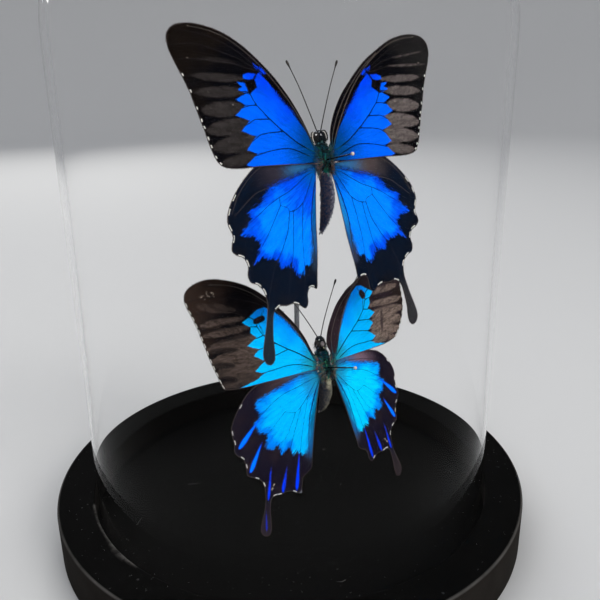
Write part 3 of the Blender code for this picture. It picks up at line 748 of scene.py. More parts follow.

# where a colour is given for each side, the right one is paler: partly painted light from the right, partly
# the wings' own colour
wingColours = {
    "upper_fore": {"root": (0, 0.036, 0.13), "deep": (0, 0.036, 0.62), "bright": (0, 0.095, 0.75)},
    "upper_hind": {"root": (0, 0.07, 0.3), "deep": (0, 0.05, 0.64), "bright": (0, 0.175, 0.86)},
    "lower_fore": {"root": (0.01, 0.2, 0.24), "deep": (0, 0.19, 0.76), "bright": (0, 0.4, 0.88)},
    "lower_hind": {"root": (0.01, 0.2, 0.34), "deep": (0, 0.15, 0.72), "bright": (0, 0.385, 0.88)},
    "lower_hind_right": {"root": (0.01, 0.22, 0.34), "deep": (0, 0.17, 0.74), "bright": (0, 0.51, 0.9)},
    "inner": {"upper_left": (0, 0.12, 0.38), "upper_right": (0.012, 0.25, 0.69),
              "lower_left": (0, 0.2, 0.42), "lower_right": (0.004, 0.22, 0.48)},
    "innerTeal": {"upper": (0.01, 0.062, 0.19), "lower": (0.008, 0.08, 0.24)},
    "innerBrown": {"upper_left": (0.013, 0.026, 0.05), "upper_right": (0.028, 0.036, 0.07),
                   "lower_left": (0.02, 0.022, 0.034), "lower_right": (0.034, 0.03, 0.04)},
    "ground": {"upper_fore": (0.0022, 0.0022, 0.0034), "upper_hind": (0.0022, 0.005, 0.0125),
               "lower_fore": (0.005, 0.0045, 0.006), "lower_hind": (0.008, 0.0064, 0.013),
               "lower_fore_right": (0.019, 0.0125, 0.0165)},
    "groundWarm": {"upper_fore": (0.004, 0.0033, 0.004), "upper_hind": (0.005, 0.006, 0.0105),
                   "lower_fore": (0.0105, 0.0075, 0.0082), "lower_hind": (0.015, 0.01, 0.014)},
    "tail": {"upper_left": (0.012, 0.019, 0.027), "upper_right": (0.024, 0.0235, 0.026),
             "lower_left": (0.021, 0.015, 0.02), "lower_right": (0.026, 0.019, 0.022)},
    "apex": {
        "upper_left": (0.0056, 0.004, 0.0031), "upper_right": (0.0095, 0.009, 0.0092),
        "lower_left": (0.024, 0.015, 0.0115), "lower_right": (0.016, 0.011, 0.009),
    },
    "finger": {
        "upper_left": (0.023, 0.0198, 0.019), "upper_right": (0.088, 0.074, 0.07),
        "lower_left": (0.06, 0.044, 0.037), "lower_right": (0.12, 0.09, 0.076),
    },
    "streak": (0, 0.035, 0.8),
    "streakCore": (0, 0.17, 0.88),
    "band": {"upper_left": (0.024, 0.021, 0.03), "upper_right": (0.055, 0.043, 0.042),
             "lower_left": (0.048, 0.032, 0.038), "lower_right": (0.15, 0.098, 0.13)},
    "bandRoot": (0.02, 0.11, 0.26),
    "rim": (0.06, 0.046, 0.042),
    "vein": {"fore": (0, 0.003, 0.02), "hind": (0, 0.01, 0.1)},
    "veinRoot": (0.004, 0.07, 0.11),
    "veinDark": {"fore": (0.009, 0.0075, 0.008), "hind": (0.0165, 0.0165, 0.022)},
    "veinPale": {"left": (0.045, 0.038, 0.036), "right": (0.062, 0.05, 0.045)},
    "scrape": (0.42, 0.36, 0.3),
    "under": (0.055, 0.036, 0.027),
    "underPale": (0.21, 0.155, 0.115),
    "whiteHair": (0.8, 0.78, 0.73),
    "darkHair": (0.014, 0.011, 0.01),
}


def specimenFrame(s):
    turn = Matrix.Rotation(math.radians(s["yaw"]), 4, "Z")
    lean = Matrix.Rotation(math.radians(90.0 - s["pitch"]), 4, "X")
    tilt = Matrix.Rotation(math.radians(-s["roll"]), 4, "Z")
    return Matrix.Translation(Vector(s["place"]) * mm) @ turn @ lean @ tilt


def seatFrame(side, seat):
    out, up, lift, dihedral, twist, sweep = seat
    lean = Matrix.Rotation(math.radians(side * dihedral), 4, "Y")
    turn = Matrix.Rotation(math.radians(twist), 4, "X")
    swing = Matrix.Rotation(math.radians(-side * sweep), 4, "Z")
    return Matrix.Translation(Vector((side * out, up, lift)) * mm) @ lean @ turn @ swing


def wingRelief(flat, plan, isFore):
    # sinks between the veins, and waves gently away from where the wings overlap
    near = np.full(len(flat), far)
    for _, _, points in plan["veins"]:
        near = np.minimum(near, lineField(flat, smoothLine(points, 3)))
    relief = -wingCloth["pleat"] * np.clip(near / wingCloth["pleatReach"], 0, 1) ** 1.5
    x, y = flat.T
    free = np.clip((y - 4) / 14, 0, 1) if isFore else np.clip((-8 - y) / 16, 0, 1)
    wave = np.sin(x * 0.16 + y * 0.09) + 0.7 * np.sin(x * 0.07 - y * 0.21 + 1.3)
    return relief + wingCloth["wave"] * wave * free


def paintFields(mesh, flat, plan, rim):
    # what the materials read at each point, mostly the distance in mm to a painted shape, positive inside

    def highest(shape, rows):
        return np.max([np.full(len(flat), -far), *[shape(flat, row) for row in rows]], axis=0)

    def nearest(distances):
        return np.min([np.full(len(flat), far), *distances], axis=0)

    blue = np.max([areaField(flat, bulgedLoop(loop)) for loop in plan["blue"]], axis=0)
    for width, points in plan["cuts"]:
        blue = np.minimum(blue, lineField(flat, np.array(points, float)) - width / 2)
    finger, strength = np.full(len(flat), -far), np.zeros(len(flat))
    for lens, power in zip(plan["fingers"], plan["fingerStrength"]):
        here = lensField(flat, lens)
        strength = np.where(here > finger, power, strength)
        finger = np.maximum(finger, here)
    x, y = flat.T
    nothing = np.full(len(flat), -far)
    innerLine = plan["inner"][len(plan["inner"]) // 2:] or [(-far, 0.0), (-far, 1.0)]
    veinLines = [evenly(smoothLine(points, 4), 1.0) for _, _, points in plan["veins"]]
    fields = {
        "blue": blue,
        "finger": finger,
        "fingerPower": strength,
        "darks": highest(lensField, plan["darks"]),
        "specks": highest(lensField, plan["specks"]),
        "streak": highest(dropField, plan["streaks"]),
        "bright": highest(dropField, plan["streaks"][:plan["bright"]]),
        "glints": nearest([np.linalg.norm(flat - spot, axis=1) for spot in plan["glints"]]),
        "pale": nearest([lineField(flat, veinLines[i]) for i in plan["pale"]]),
        "cellSide": (y - 0.80 * x) * 0.78,  # distance past a slanting line through the cell of the forewing
        "band": areaField(flat, plan["band"]) if plan["band"] else nothing,
        "inner": areaField(flat, plan["inner"]) if plan["inner"] else nothing,
        "innerGap": lineField(flat, np.array(innerLine, float)),
        "veins": np.min([lineField(flat, line, root, tip)
                         for line, (root, tip, _) in zip(veinLines, plan["veins"])], axis=0),
        "rim": rim,
        "reach": np.hypot(x, y),
    }
    for name, values in fields.items():
        numberField(mesh, name, values)
    vectorField(mesh, "flat", np.column_stack([flat, np.zeros(len(flat))]))
    # angle and distance from the root, for noise that is combed along the rays
    angle = np.arctan2(y, x + 3.0)
    vectorField(mesh, "rays", np.column_stack([angle * 26.0, fields["reach"] * 0.14, np.zeros(len(flat))]))


def wingSheet(name, plan, side, isFore, matrix, materials):
    step = wingCloth["spacing"]
    loop = evenly(smoothLoop(plan["outline"], 6), step, closed=True)
    low, high = loop.min(0), loop.max(0)
    rows = []
    for j, y in enumerate(np.arange(low[1], high[1], step * 0.87)):
        xs = np.arange(low[0] + (j % 2) * step / 2, high[0], step)
        rows.append(np.column_stack([xs, np.full(len(xs), y)]))
    grid = np.vstack(rows)
    # the veins are creases, so the points of the grid keep off them and off the edge
    creases, edges = [], [(i, (i + 1) % len(loop)) for i in range(len(loop))]
    at = len(loop)
    for _, _, points in plan["veins"]:
        crease = evenly(smoothLine(points, 6), step * 1.2)
        crease = crease[areaField(crease, loop) > step * 0.8]
        edges += [(at + i, at + i + 1) for i in range(len(crease) - 1)]
        grid = grid[lineField(grid, crease) > step * 0.4]
        creases.append(crease)
        at += len(crease)
    grid = grid[areaField(grid, loop) > step * 0.45]
    spots = [Vector(p) for p in np.vstack([loop, *creases, grid])]
    spots, _, faces, *_ = geometry.delaunay_2d_cdt(spots, edges, [list(range(len(loop)))], 1, 1e-4)
    flat = np.array([tuple(p) for p in spots])
    verts = np.column_stack([flat[:, 0] * side, flat[:, 1], wingRelief(flat, plan, isFore)]) * mm
    if side < 0:
        faces = [tuple(reversed(f)) for f in faces]
    sheet = meshObject(name, verts, faces, materials[0], matrix)
    sheet.data.materials.append(materials[1])
    paintFields(sheet.data, flat, plan, lineField(flat, np.vstack([loop, loop[:1]])))
    solid = sheet.modifiers.new("Skin", "SOLIDIFY")
    solid.thickness = wingCloth["thickness"] * mm
    solid.offset = -1.0
    solid.material_offset = 1
    solid.material_offset_rim = 1
    return sheet, loop


def wingVeins(name, plan, side, isFore, loop, matrix, material):
    lines, flats = [], []
    slim = 0.5 if isFore else 0.36
    margin = np.vstack([loop, loop[:1]])
    runs = [(a * slim, b * slim, evenly(smoothLine(points, 6), 0.8)) for a, b, points in plan["veins"]]
    for rootRadius, tipRadius, points in [*runs, (wingCloth["rimRadius"], wingCloth["rimRadius"], margin)]:
        relief = wingRelief(points, plan, isFore) - wingCloth["thickness"] / 2
        lines.append((np.column_stack([points[:, 0] * side, points[:, 1], relief]),
                      np.linspace(rootRadius, tipRadius, len(points))))
        flats.append(np.repeat(points, wingCloth["veinSides"], axis=0))
    verts, faces = tubeMesh(lines, wingCloth["veinSides"])
    veins = meshObject(name, verts * mm, faces, material, matrix)
    flat = np.vstack(flats)
    paintFields(veins.data, flat, plan, lineField(flat, margin))
    return veins


def wingFringe(name, plan, side, isFore, loop, matrix, material, slot):
    # short hairs along the free margin, long and white in the dashes
    line = evenly(loop, wingCloth["fringeStep"], closed=True)
    ahead = np.roll(line, -1, 0) - np.roll(line, 1, 0)
    out = np.column_stack([ahead[:, 1], -ahead[:, 0]])
    out /= np.linalg.norm(out, axis=1)[:, None]
    if areaField(line[:1] + out[:1] * 0.3, loop)[0] > 0:
        out = -out
    x, y = line.T
    outer, rear = wingCloth["freeFrom"]["hind"]
    free = x > wingCloth["freeFrom"]["fore"] if isFore else (x > outer) | (y < rear)
    line, out = line[free], out[free]
    marks = [line[np.argmin(np.linalg.norm(line - np.array(d), axis=1))] for d in plan["dashes"]]
    gap = np.min([np.linalg.norm(line - mark, axis=1) for mark in marks], axis=0)
    white = gap < plan["dashLength"] / 2
    relief = wingRelief(line, plan, isFore) - wingCloth["thickness"] / 2
    wobble = rng.normal(0, 0.22, (len(line), 2))
    ways = np.column_stack([(out + wobble) * [side, 1], rng.normal(0, 0.10, len(line))])
    # dark hairs stand out all round, white ones lie just inside the edge
    inset = wingCloth["whiteInset"]["left" if side < 0 else "right"] * plan["dashWidth"]
    index = np.concatenate([np.arange(len(line)), np.repeat(np.flatnonzero(white), wingCloth["whiteHairs"])])
    pale = np.arange(len(index)) >= len(line)
    start = line[index] - out[index] * np.where(pale, inset, 0.0)[:, None]
    roots = np.column_stack([start[:, 0] * side, start[:, 1], relief[index] + pale * wingCloth["whiteRise"]])
    lengths = np.where(pale, inset * 0.85, wingCloth["darkHair"]) * rng.uniform(0.7, 1.15, len(index))
    roots = roots + rng.normal(0, 0.045, (len(index), 3)) * [1, 1, 0.4]
    ways = ways[index] + rng.normal(0, 0.12, (len(index), 3))
    tints = np.where(pale[:, None], wingColours["whiteHair"], wingColours["darkHair"])
    tints = tints * rng.uniform(0.75, 1.1, (len(index), 1))
    hairs = (roots, ways, lengths, 0, tints)
    return hairObject(name, hairs, wingCloth["hairRadius"], material, slot, matrix)


def scalyWing(name, kind, sideName, isUnder=False):
    look = Look(name)
    read, mix, add, times, ease, speckle = look.read, look.mix, look.add, look.times, look.ease, look.speckle
    species, wing = kind.split("_")
    isHind = wing == "hind"
    isUpper = species == "upper"
    here = f"{species}_{sideName}"
    colours = wingColours.get(f"{kind}_{sideName}", wingColours[kind])
    finger = wingColours["finger"][here]
    reach = read("reach")
    # noise on the wing itself, and combed along its rays
    flat, rays = read("flat", "Vector"), read("rays", "Vector")
    wobble = speckle(flat, 0.9, 4, 0.65)
    dust = speckle(flat, 4.5, 2, 0.6)
    cloud = speckle(flat, 0.16, 3, 0.5)
    hatch = speckle(flat, 3, 2, 0.7)
    mottle = speckle(flat, 1.6, 3, 0.7)
    ribs = speckle(rays, 1.2, 4, 0.65)
    lines = speckle(rays, 5, 3, 0.7)
    # jagged edge of the blue
    if isHind:
        comb = speckle(rays, 3.4, 2, 0.6)
        rough = ease(read("band"), -6, -0.5, 1, 7) if isUpper else 1.2
        jag = add(add(times(wobble, 0.25), comb, 4.6), ribs, 0.8)
        jag = add(jag, times(hatch, rough))
    else:
        costal = add(times(ease(read("cellSide"), 2, 5, 0, 4.5), ease(reach, 22, 27, 1, 0)), 0.9)
        jag = add(times(hatch, costal), wobble, 0.5)
    blueEdge = add(read("blue"), jag)
    blueMask = ease(blueEdge, -0.16, 0.12)
    # ground: black, warmer in patches, brown at the tip
    ground = wingColours["ground"].get(f"{kind}_{sideName}", wingColours["ground"][kind])
    base = mix(ease(cloud, -0.05, 0.25), ground, wingColours["groundWarm"][kind])
    if not isHind:
        base = mix(ease(add(reach, cloud, 26), 38, 54), base, wingColours["apex"][here])
    # pale fingers with soft streaky edges
    fray = 0.7 if isUpper else 1.3
    fingerMask = ease(add(add(read("finger"), wobble, fray), ribs, fray), -0.3, 0.5)
    darkened = ease(add(add(read("darks"), wobble, 1.6), ribs), -0.45, 0.45, 1, 0.22)
    fingerMask = times(times(fingerMask, darkened), read("fingerPower"))
    tone = add(add(add(ribs, wobble, 0.8), dust, 0.5), lines, 0.2 if isUpper else 0.8)
    low, high = (0.62, 1.3) if isUpper else (0.45, 1.5)
    smoke = mix(ease(tone, -0.24, 0.24), scaled(finger, low), scaled(finger, high))
    base = mix(fingerMask, base, smoke)
    if isHind:
        tailPart = ease(add(reach, wobble, 3), 46, 54, 0, 0.9)
        base = mix(tailPart, base, wingColours["tail"][here])
        band = ease(add(read("band"), wobble, 3), -1, 1.4)
        band = times(band, ease(add(reach, cloud, 8), 16, 29, 1, 0))
        rootward = ease(add(reach, wobble, 7), 7, 17)
        base = mix(band, base, mix(rootward, wingColours["bandRoot"], wingColours["band"][here]))
    streakMask = ease(add(add(read("streak"), dust), ribs, 0.5), -0.12, 0.16)
    if isUnder:
        base = mix(0.55, base, wingColours["under"])
        pale = times(ease(add(ribs, wobble, 1.2), -0.05, 0.45), ease(reach, 8, 34, 0.55, 0))
        base = mix(pale, base, wingColours["underPale"])
        base = mix(times(streakMask, 0.6), base, wingColours["underPale"])
    else:
        # blue: teal at the root, deeper toward its edge and in rays, with fine scale grain
        if isHind:
            start, end = (9, 26) if isUpper and sideName == "left" else (2, 13)
            depth = ease(add(add(reach, ribs, 22), cloud, 14), start, end)
            edge = add(add(blueEdge, cloud, 8), ribs, 3)
            edge = add(edge, ease(read("innerGap"), 4, 9, 1, 0), 4)  # not along the inner margin
            depth = times(depth, ease(edge, 0.3, 4.2, 0.05, 1))
        else:
            depth = ease(add(add(read("cellSide"), ribs, 5), cloud, 12), -3.5, 6.5, 1, 0)
        blue = mix(depth, colours["deep"], colours["bright"])
        start, end = (4.5, 18) if kind == "upper_fore" else (3.5, 12.5)
        rootMask = ease(add(add(add(reach, wobble, 6), ribs, 8), dust, 14), start, end, 0.95, 0)
        blue = mix(rootMask, blue, colours["root"])
        shade = add(add(add(times(dust, 0.8), ribs, 0.9), mottle, 0.9), 1.0)
        blue = mix(1.0, blue, shade, "MULTIPLY")
        if isHind:
            inner = wingColours["inner"][here]
            innerTone = mix(ease(add(dust, ribs), -0.2, 0.25), scaled(inner, 0.45), inner)
            base = mix(ease(add(read("inner"), dust, 1.2), -0.3, 0.25), base, innerTone)
        base = mix(blueMask, base, blue)
        if isHind:
            # toward the tail the inner margin turns teal, then brown
            margin = ease(add(add(read("innerGap"), hatch, 2.6), ribs, 1.6), 0.7, 3, 1, 0)
            margin = times(margin, ease(reach, 12 if sideName == "left" else 16, 26, 0, 0.95))
            tailward = ease(add(reach, wobble, 5), 24, 31)
            base = mix(margin, base, mix(tailward, wingColours["innerTeal"][species],
                                         wingColours["innerBrown"][here]))
        lit = ease(add(read("bright"), dust, 0.6), -0.1, 0.5)
        base = mix(streakMask, base, mix(lit, wingColours["streak"], wingColours["streakCore"]))
        # dark lines along the veins
        nearVein = ease(add(read("veins"), mottle, 0.5), -0.02, 0.06 if isHind else 0.13, 0.85, 0)
        nearVein = times(nearVein, ease(add(reach, wobble, 4), 2.5, 7, 0.15, 1))
        dark = mix(ease(read("finger"), -0.3, 0.3), wingColours["veinDark"][wing], scaled(finger, 0.7))
        dark = mix(ease(read("pale"), 0.2, 0.5, 1, 0), dark, wingColours["veinPale"][sideName])
        base = mix(nearVein, base, mix(blueMask, dark, wingColours["vein"][wing]))
        base = mix(ease(add(read("specks"), dust, 1.6), -0.05, 0.2), base, wingColours["scrape"])
        base = mix(ease(read("glints"), 0.16, 0.3, 1, 0), base, wingColours["scrape"])
    rimMask = ease(add(read("rim"), dust, 0.25), 0.06, 0.18, 0.8, 0)
    look.bump(add(add(dust, ribs, 0.8), mottle, 0.8), 0.4, 0.14)
    roughness = 0.8 if isUnder else look.calc("SUBTRACT", 0.8, times(blueMask, 0.28))
    return look.done(mix(rimMask, base, wingColours["rim"]), roughness, 0.006)


def veinSkin(name, finger, sideName, wing):
    look = Look(name)
    read, mix, ease = look.read, look.mix, look.ease
    flat = read("flat", "Vector")
    pale = wingColours["veinPale"][sideName]
    worn = mix(look.grain(flat, 0.8, 3), scaled(pale, 0.4), scaled(pale, 1.4))
    colour = mix(ease(read("finger"), -0.3, 0.3), wingColours["veinDark"][wing], scaled(finger, 0.7))
    colour = mix(ease(read("pale"), 0.2, 0.5, 1, 0), colour, worn)
    colour = mix(ease(read("blue"), -0.5, 0.1), colour, wingColours["vein"][wing])
    colour = mix(ease(read("reach"), 3, 6.5, 0.8, 0), colour, wingColours["veinRoot"])
    look.bump(look.grain(flat, 6), 0.3, 0.05)
    return look.done(mix(ease(read("rim"), 0.02, 0.1, 1, 0), colour, wingColours["rim"]), 0.55, 0.04)


def hairSkin(name, roughness=0.6):
    look = Look(name)
    speck = look.ease(look.grain(None, 900), 0.2, 0.8, 0.75, 1.1)
    return look.done(look.mix(1.0, look.read("tint", "Color"), speck, "MULTIPLY"), roughness, 0.1)


def makeWings(name, specimen, matrix):
    hair = hairSkin(f"{name}_fringe_hair")
    veinSkins = {}
    for side in ("left", "right"):
        for wing in ("fore", "hind"):
            finger = wingColours["finger"][f"{name}_{side}"]
            veinSkins[side, wing] = veinSkin(f"{name}_{side}_{wing}_veins", finger, side, wing)
    for part, (plan, seat) in specimen["wings"].items():
        wing, sideName = part[:4], part.split("_")[1]
        side = -1 if sideName == "left" else 1
        isFore = wing == "fore"
        top = scalyWing(f"{name}_{part}_scales", f"{name}_{wing}", sideName)
        under = scalyWing(f"{name}_{part}_underside", f"{name}_{wing}", sideName, isUnder=True)
        place = matrix @ seatFrame(side, seat)
        slot = f"{name}_wings"
        sheet, loop = wingSheet(f"{name}_{part}_sheet", plan, side, isFore, place, (top, under))
        keep(sheet, slot, f"{name}_{part}")
        skin = veinSkins[sideName, wing]
        keep(wingVeins(f"{name}_{part}_veins", plan, side, isFore, loop, place, skin), slot)
        wingFringe(f"{name}_{part}_fringe", plan, side, isFore, loop, place, hair, slot)


for name, specimen in specimens.items():
    makeWings(name, specimen, specimenFrame(specimen))
    say(f"{name} wings")

# bodies, legs, antennae and pins

figures = {
    "upper": {
        # distance along the body, half width, half depth, lift of the middle line
        "sections": [
            (8.8, 0.3, 0.3, -1.2), (8.6, 0.9, 0.9, -1.2), (8, 1.4, 1.5, -1.2), (6.8, 1.9, 1.8, -1.2),
            (5.4, 1.7, 1.7, -1.2), (4.6, 1.2, 1.3, -1.2), (3.7, 2, 2.1, -1.1), (2.1, 2.4, 2.5, -1.1),
            (0, 2.45, 2.6, -1.1), (-2.5, 2.2, 2.4, -1.1), (-4.6, 1.4, 1.6, -1.1), (-6.2, 1.9, 1.9, -0.9),
            (-9.5, 2.2, 2.2, -0.9), (-13.5, 2.4, 2.3, -1.8), (-17.5, 2, 2, -3.3), (-21, 1.3, 1.3, -5.1),
            (-23.3, 0.7, 0.7, -6.6), (-24.2, 0.3, 0.3, -7.2),
        ],
        "waist": -4.6, "neck": 4.6, "bend": 0.6, "tail": -24.2,
        "eyes": {"left": (-1.55, 6.7, -0.9, 1.2), "right": (1.55, 6.7, -0.9, 1.2)},  # x, y, z, radius
        "antenna": [(0.8, 8.6, -0.9), (3, 14.5, -0.5), (6.2, 22.5, 0.1), (9.9, 30.3, 0.5)],
        "pinUp": -1, "pinFront": 14.9,
        # rims of white scales on the eyes: (across, up) on each ball as the viewer sees it, from -1 to 1
        "rims": {
            "left": [(-0.45, 0.8), (-0.62, 0.4), (-0.68, 0), (-0.64, -0.45), (-0.52, -0.8)],
            "right": [(-0.05, 0.88), (0.4, 0.65), (0.64, 0.1), (0.6, -0.5)],
        },
        # little tufts of pale scales: x, y, z, hairs in each, spread in mm, colour
        "tufts": [
            (-2.13, 7.16, 0.3, 34, 0.11, (0.8, 0.8, 0.8)), (-0.49, 7.08, 0.66, 34, 0.11, (0.7, 0.68, 0.7)),
            (-1.38, 8.1, -0.4, 20, 0.1, (0.36, 0.4, 0.44)), (-0.62, 8.04, 0.08, 20, 0.1, (0.4, 0.44, 0.48)),
            (-0.64, 4.85, 0.93, 20, 0.16, (0.08, 0.2, 0.2)),
            (-1.77, 4.34, 0.4, 14, 0.12, (0.08, 0.24, 0.26)),
            (-3.3, 1.4, 1.15, 30, 0.4, (0.05, 0.13, 0.15)), (-3.6, -1, 1.2, 60, 0.45, (0.15, 0.1, 0.1)),
            (-3.4, -3, 0.7, 60, 0.45, (0.17, 0.12, 0.12)), (-2.9, -4.6, 0.4, 50, 0.4, (0.14, 0.1, 0.1)),
            (3, 2.89, 0.55, 30, 0.35, (0.05, 0.14, 0.18)), (3.4, 1.6, 0.55, 24, 0.35, (0.14, 0.13, 0.15)),
        ],
    },
    "lower": {
        "sections": [
            (11, 0.3, 0.3, -0.8), (10.8, 0.9, 0.9, -0.8), (10.1, 1.4, 1.5, -0.8), (8.7, 1.9, 1.9, -0.8),
            (7.2, 1.7, 1.7, -0.9), (6.3, 1.2, 1.3, -1.1), (5.3, 2, 2.1, -1.3), (3.4, 2.4, 2.6, -1.4),
            (1.2, 2.45, 2.7, -1.4), (-1.4, 2.2, 2.5, -1.5), (-3.6, 1.5, 1.7, -1.8), (-5.3, 2, 2, -2.2),
            (-8, 2.3, 2.3, -3.1), (-11.2, 2.1, 2.1, -4.5), (-14, 1.6, 1.7, -6.4), (-16.2, 1, 1, -8.4),
            (-17.2, 0.4, 0.4, -9.6),
        ],
        "waist": -3.6, "neck": 6.3, "bend": 0.4, "tail": -17.2,
        # the lower one's right eye is a small pale ball where a painted highlight shows on the head
        "eyes": {"left": (-1.45, 8.3, -0.5, 1.15), "right": (-0.3, 8.1, 0.72, 0.8)},
        "antenna": [(0.8, 10.8, -0.6), (3.4, 16, -0.3), (7.2, 22.5, 0.2), (11.8, 29.5, 0.5)],
        "pinUp": -0.6, "pinFront": 16.2,
        "rims": {},
        "tufts": [
            (-1.08, 9.86, 0.57, 22, 0.1, (0.6, 0.64, 0.6)), (-2.49, 8.04, 0.19, 12, 0.14, (0.3, 0.34, 0.4)),
            (-3.1, 7.3, -0.75, 12, 0.1, (0.26, 0.32, 0.38)),
            (-2.85, 5.88, -0.45, 12, 0.12, (0.18, 0.26, 0.32)),
            (-1.97, 5.38, 1.08, 12, 0.12, (0.16, 0.18, 0.28)),
            (-0.2, 6.65, 1.1, 18, 0.1, (0.66, 0.66, 0.48)),
            (-2.29, 7.15, 0.59, 12, 0.16, (0.1, 0.16, 0.26)), (2.7, 3.8, 0.4, 16, 0.1, (0.5, 0.54, 0.44)),
            (-4.2, 2.3, 1.05, 22, 0.16, (0.5, 0.5, 0.46)), (-4.5, 1.5, 1.05, 30, 0.2, (0.34, 0.44, 0.32)),
            (-4.4, 4.2, 1.05, 30, 0.24, (0.28, 0.36, 0.22)),
            (-4.1, 3.4, 1.05, 36, 0.26, (0.34, 0.13, 0.11)), (-3.9, 1.2, 1.15, 30, 0.24, (0.4, 0.36, 0.2)),
            (-4.9, 0.4, 1.05, 46, 0.34, (0.34, 0.12, 0.1)),
            (-4.6, -0.8, 1.05, 30, 0.22, (0.52, 0.52, 0.44)), (-5.6, 2.6, 1.05, 24, 0.3, (0.06, 0.3, 0.24)),
            (-5.9, 1, 1, 24, 0.34, (0.1, 0.34, 0.28)), (2.4, 2.8, 0.55, 46, 0.34, (0.24, 0.1, 0.1)),
            (2.7, 0.75, 0.55, 50, 0.3, (0.44, 0.16, 0.18)), (4.1, 1, 0.5, 40, 0.34, (0.14, 0.42, 0.34)),
            (4.6, 2.4, 0.4, 30, 0.4, (0.06, 0.32, 0.32)), (3, -1.2, 0.45, 44, 0.36, (0.42, 0.36, 0.28)),
            (-0.92, 1.59, 1.45, 30, 0.26, (0.06, 0.34, 0.17)),
            (-0.75, 0.44, 1.45, 30, 0.24, (0.05, 0.28, 0.14)),
            (-2.1, -0.67, 1.3, 24, 0.24, (0.05, 0.22, 0.16)),
            (-0.83, -4.24, 0.25, 40, 0.3, (0.42, 0.38, 0.28)),
            (-0.1, -6.2, -0.25, 190, 0.42, (0.7, 0.68, 0.52)),
            (0.3, -5.5, -0.35, 130, 0.46, (0.44, 0.42, 0.3)),
            (-1.6, -4.49, 0.1, 40, 0.34, (0.22, 0.16, 0.14)),
            (-0.2, -7.6, -0.55, 170, 0.46, (0.44, 0.42, 0.32)),
        ],
    },
}

bodyLook = {
    "sides": 40,
    "rings": 130,
    "segments": 8,  # of the abdomen
    "groove": 0.05,
    "bendFrom": -5.0,  # along the body, where it starts to bow to its side
    "lump": 0.07,  # height of the uneven places on the thorax
    "hairs": {"thorax": 1500, "abdomen": 1500, "head": 240, "neck": 620, "root": 1700, "waist": 420,
              "overlap": 60, "flecks": 560, "patch": 90},
    "hairRadius": 0.042,
    "scaleRadius": 0.075,
    "rimRadius": 0.07,
    "dark": (0.0045, 0.0070, 0.0110),
    "green": (0.005, 0.130, 0.100),
    "teal": (0.005, 0.065, 0.125),
    # the abdomen's colours: the pale one is painted light, put only on its right side, and all are set paler
    # to make up for the hindwings' shade on it
    "navy": {"upper": (0.003, 0.014, 0.046), "lower": (0.024, 0.032, 0.046)},
    "brown": {"upper": (0.044, 0.034, 0.048), "lower": (0.085, 0.072, 0.070)},
    "flank": {"upper": (0.200, 0.200, 0.240), "lower": (0.260, 0.250, 0.190)},
    "cream": (0.46, 0.44, 0.28),  # the lower one has a pale patch behind the thorax, painted on its right side only, partly as painted light
    # left to right round the abdomen, from about -1 to 1: where the navy painted shade on its left ends and
    # where the pale painted light on its right starts
    "abdomenTurns": {"upper": (0.05, 0.55), "lower": (-0.3, 0.2)},
    "clasper": (0.20, 0.20, 0.21),
    "limb": (0.018, 0.015, 0.013),
    "clump": 0.75,  # mm across a tuft of hairs of one colour
    "whiteScale": (0.72, 0.70, 0.66),
    "eyeShape": (1.0, 1.35, 1.1),
    "eyeView": (0.78, 0.63),  # cosine and sine of the turn from straight above to where rims are seen
    "rimRise": 0.08,  # how far the rim's scales stand off the eye
    "lashReach": 1.3,  # how much further out than the rim the lashes stand
    "eyes": {  # colours, left and right; the lower one's right eye is painted pale brown as a painted highlight
        "upper": ((0.006, 0.005, 0.005), (0.006, 0.005, 0.005)),
        "lower": ((0.008, 0.006, 0.006), (0.115, 0.098, 0.104)),
    },
}

dark, green, teal = (bodyLook[key] for key in ("dark", "green", "teal"))
hairColours = {
    "thorax": [dark] * 7 + [green, (0.003, 0.05, 0.055), teal, teal, (0.05, 0.04, 0.04)],
    "neck": [dark] * 5 + [teal],
    "flecks": [green, (0.006, 0.19, 0.14), teal, dark, dark, dark, (0.01, 0.24, 0.16), (0.05, 0.04, 0.035)],
    "patch": [(0.004, 0.2, 0.12), (0.01, 0.28, 0.18)],
    # over the wing roots: close to the body, far out and at the rear
    "close": [dark, dark, dark, dark, teal, teal, green, (0.03, 0.022, 0.02)],
    "far": [teal, (0, 0.05, 0.16), (0, 0.08, 0.3), (0.006, 0.11, 0.14), dark],
    "rear": [(0.05, 0.035, 0.03), (0.16, 0.08, 0.06), (0.16, 0.13, 0.12), dark, (0.09, 0.06, 0.05), teal],
    # the right one's pale tint is partly a painted highlight
    "overlap": {"left": [(0.16, 0.11, 0.09), (0.22, 0.17, 0.15)],
                "right": [(0.5, 0.36, 0.26), (0.62, 0.54, 0.46)]},
}
moreHairColours = {  # only on the lower specimen, which is more worn
    "close": [(0.004, 0.15, 0.1), (0.16, 0.08, 0.07), (0.28, 0.23, 0.17)],
    "far": [(0.004, 0.18, 0.13), (0.01, 0.2, 0.3), (0.1, 0.13, 0.11)],
    "rear": [(0.34, 0.28, 0.2), (0.004, 0.15, 0.1)],
}

clasperLook = {
    "size": (0.34, 1.15, 0.30),  # half its width, length and depth
    "apart": 0.42,  # of each from their middle
    "shift": (-0.1, -0.35, 0.1),  # of both from the end of the abdomen
    "turn": (-8, 13, 32),  # degrees: of both to one side, of each outward, and up
}

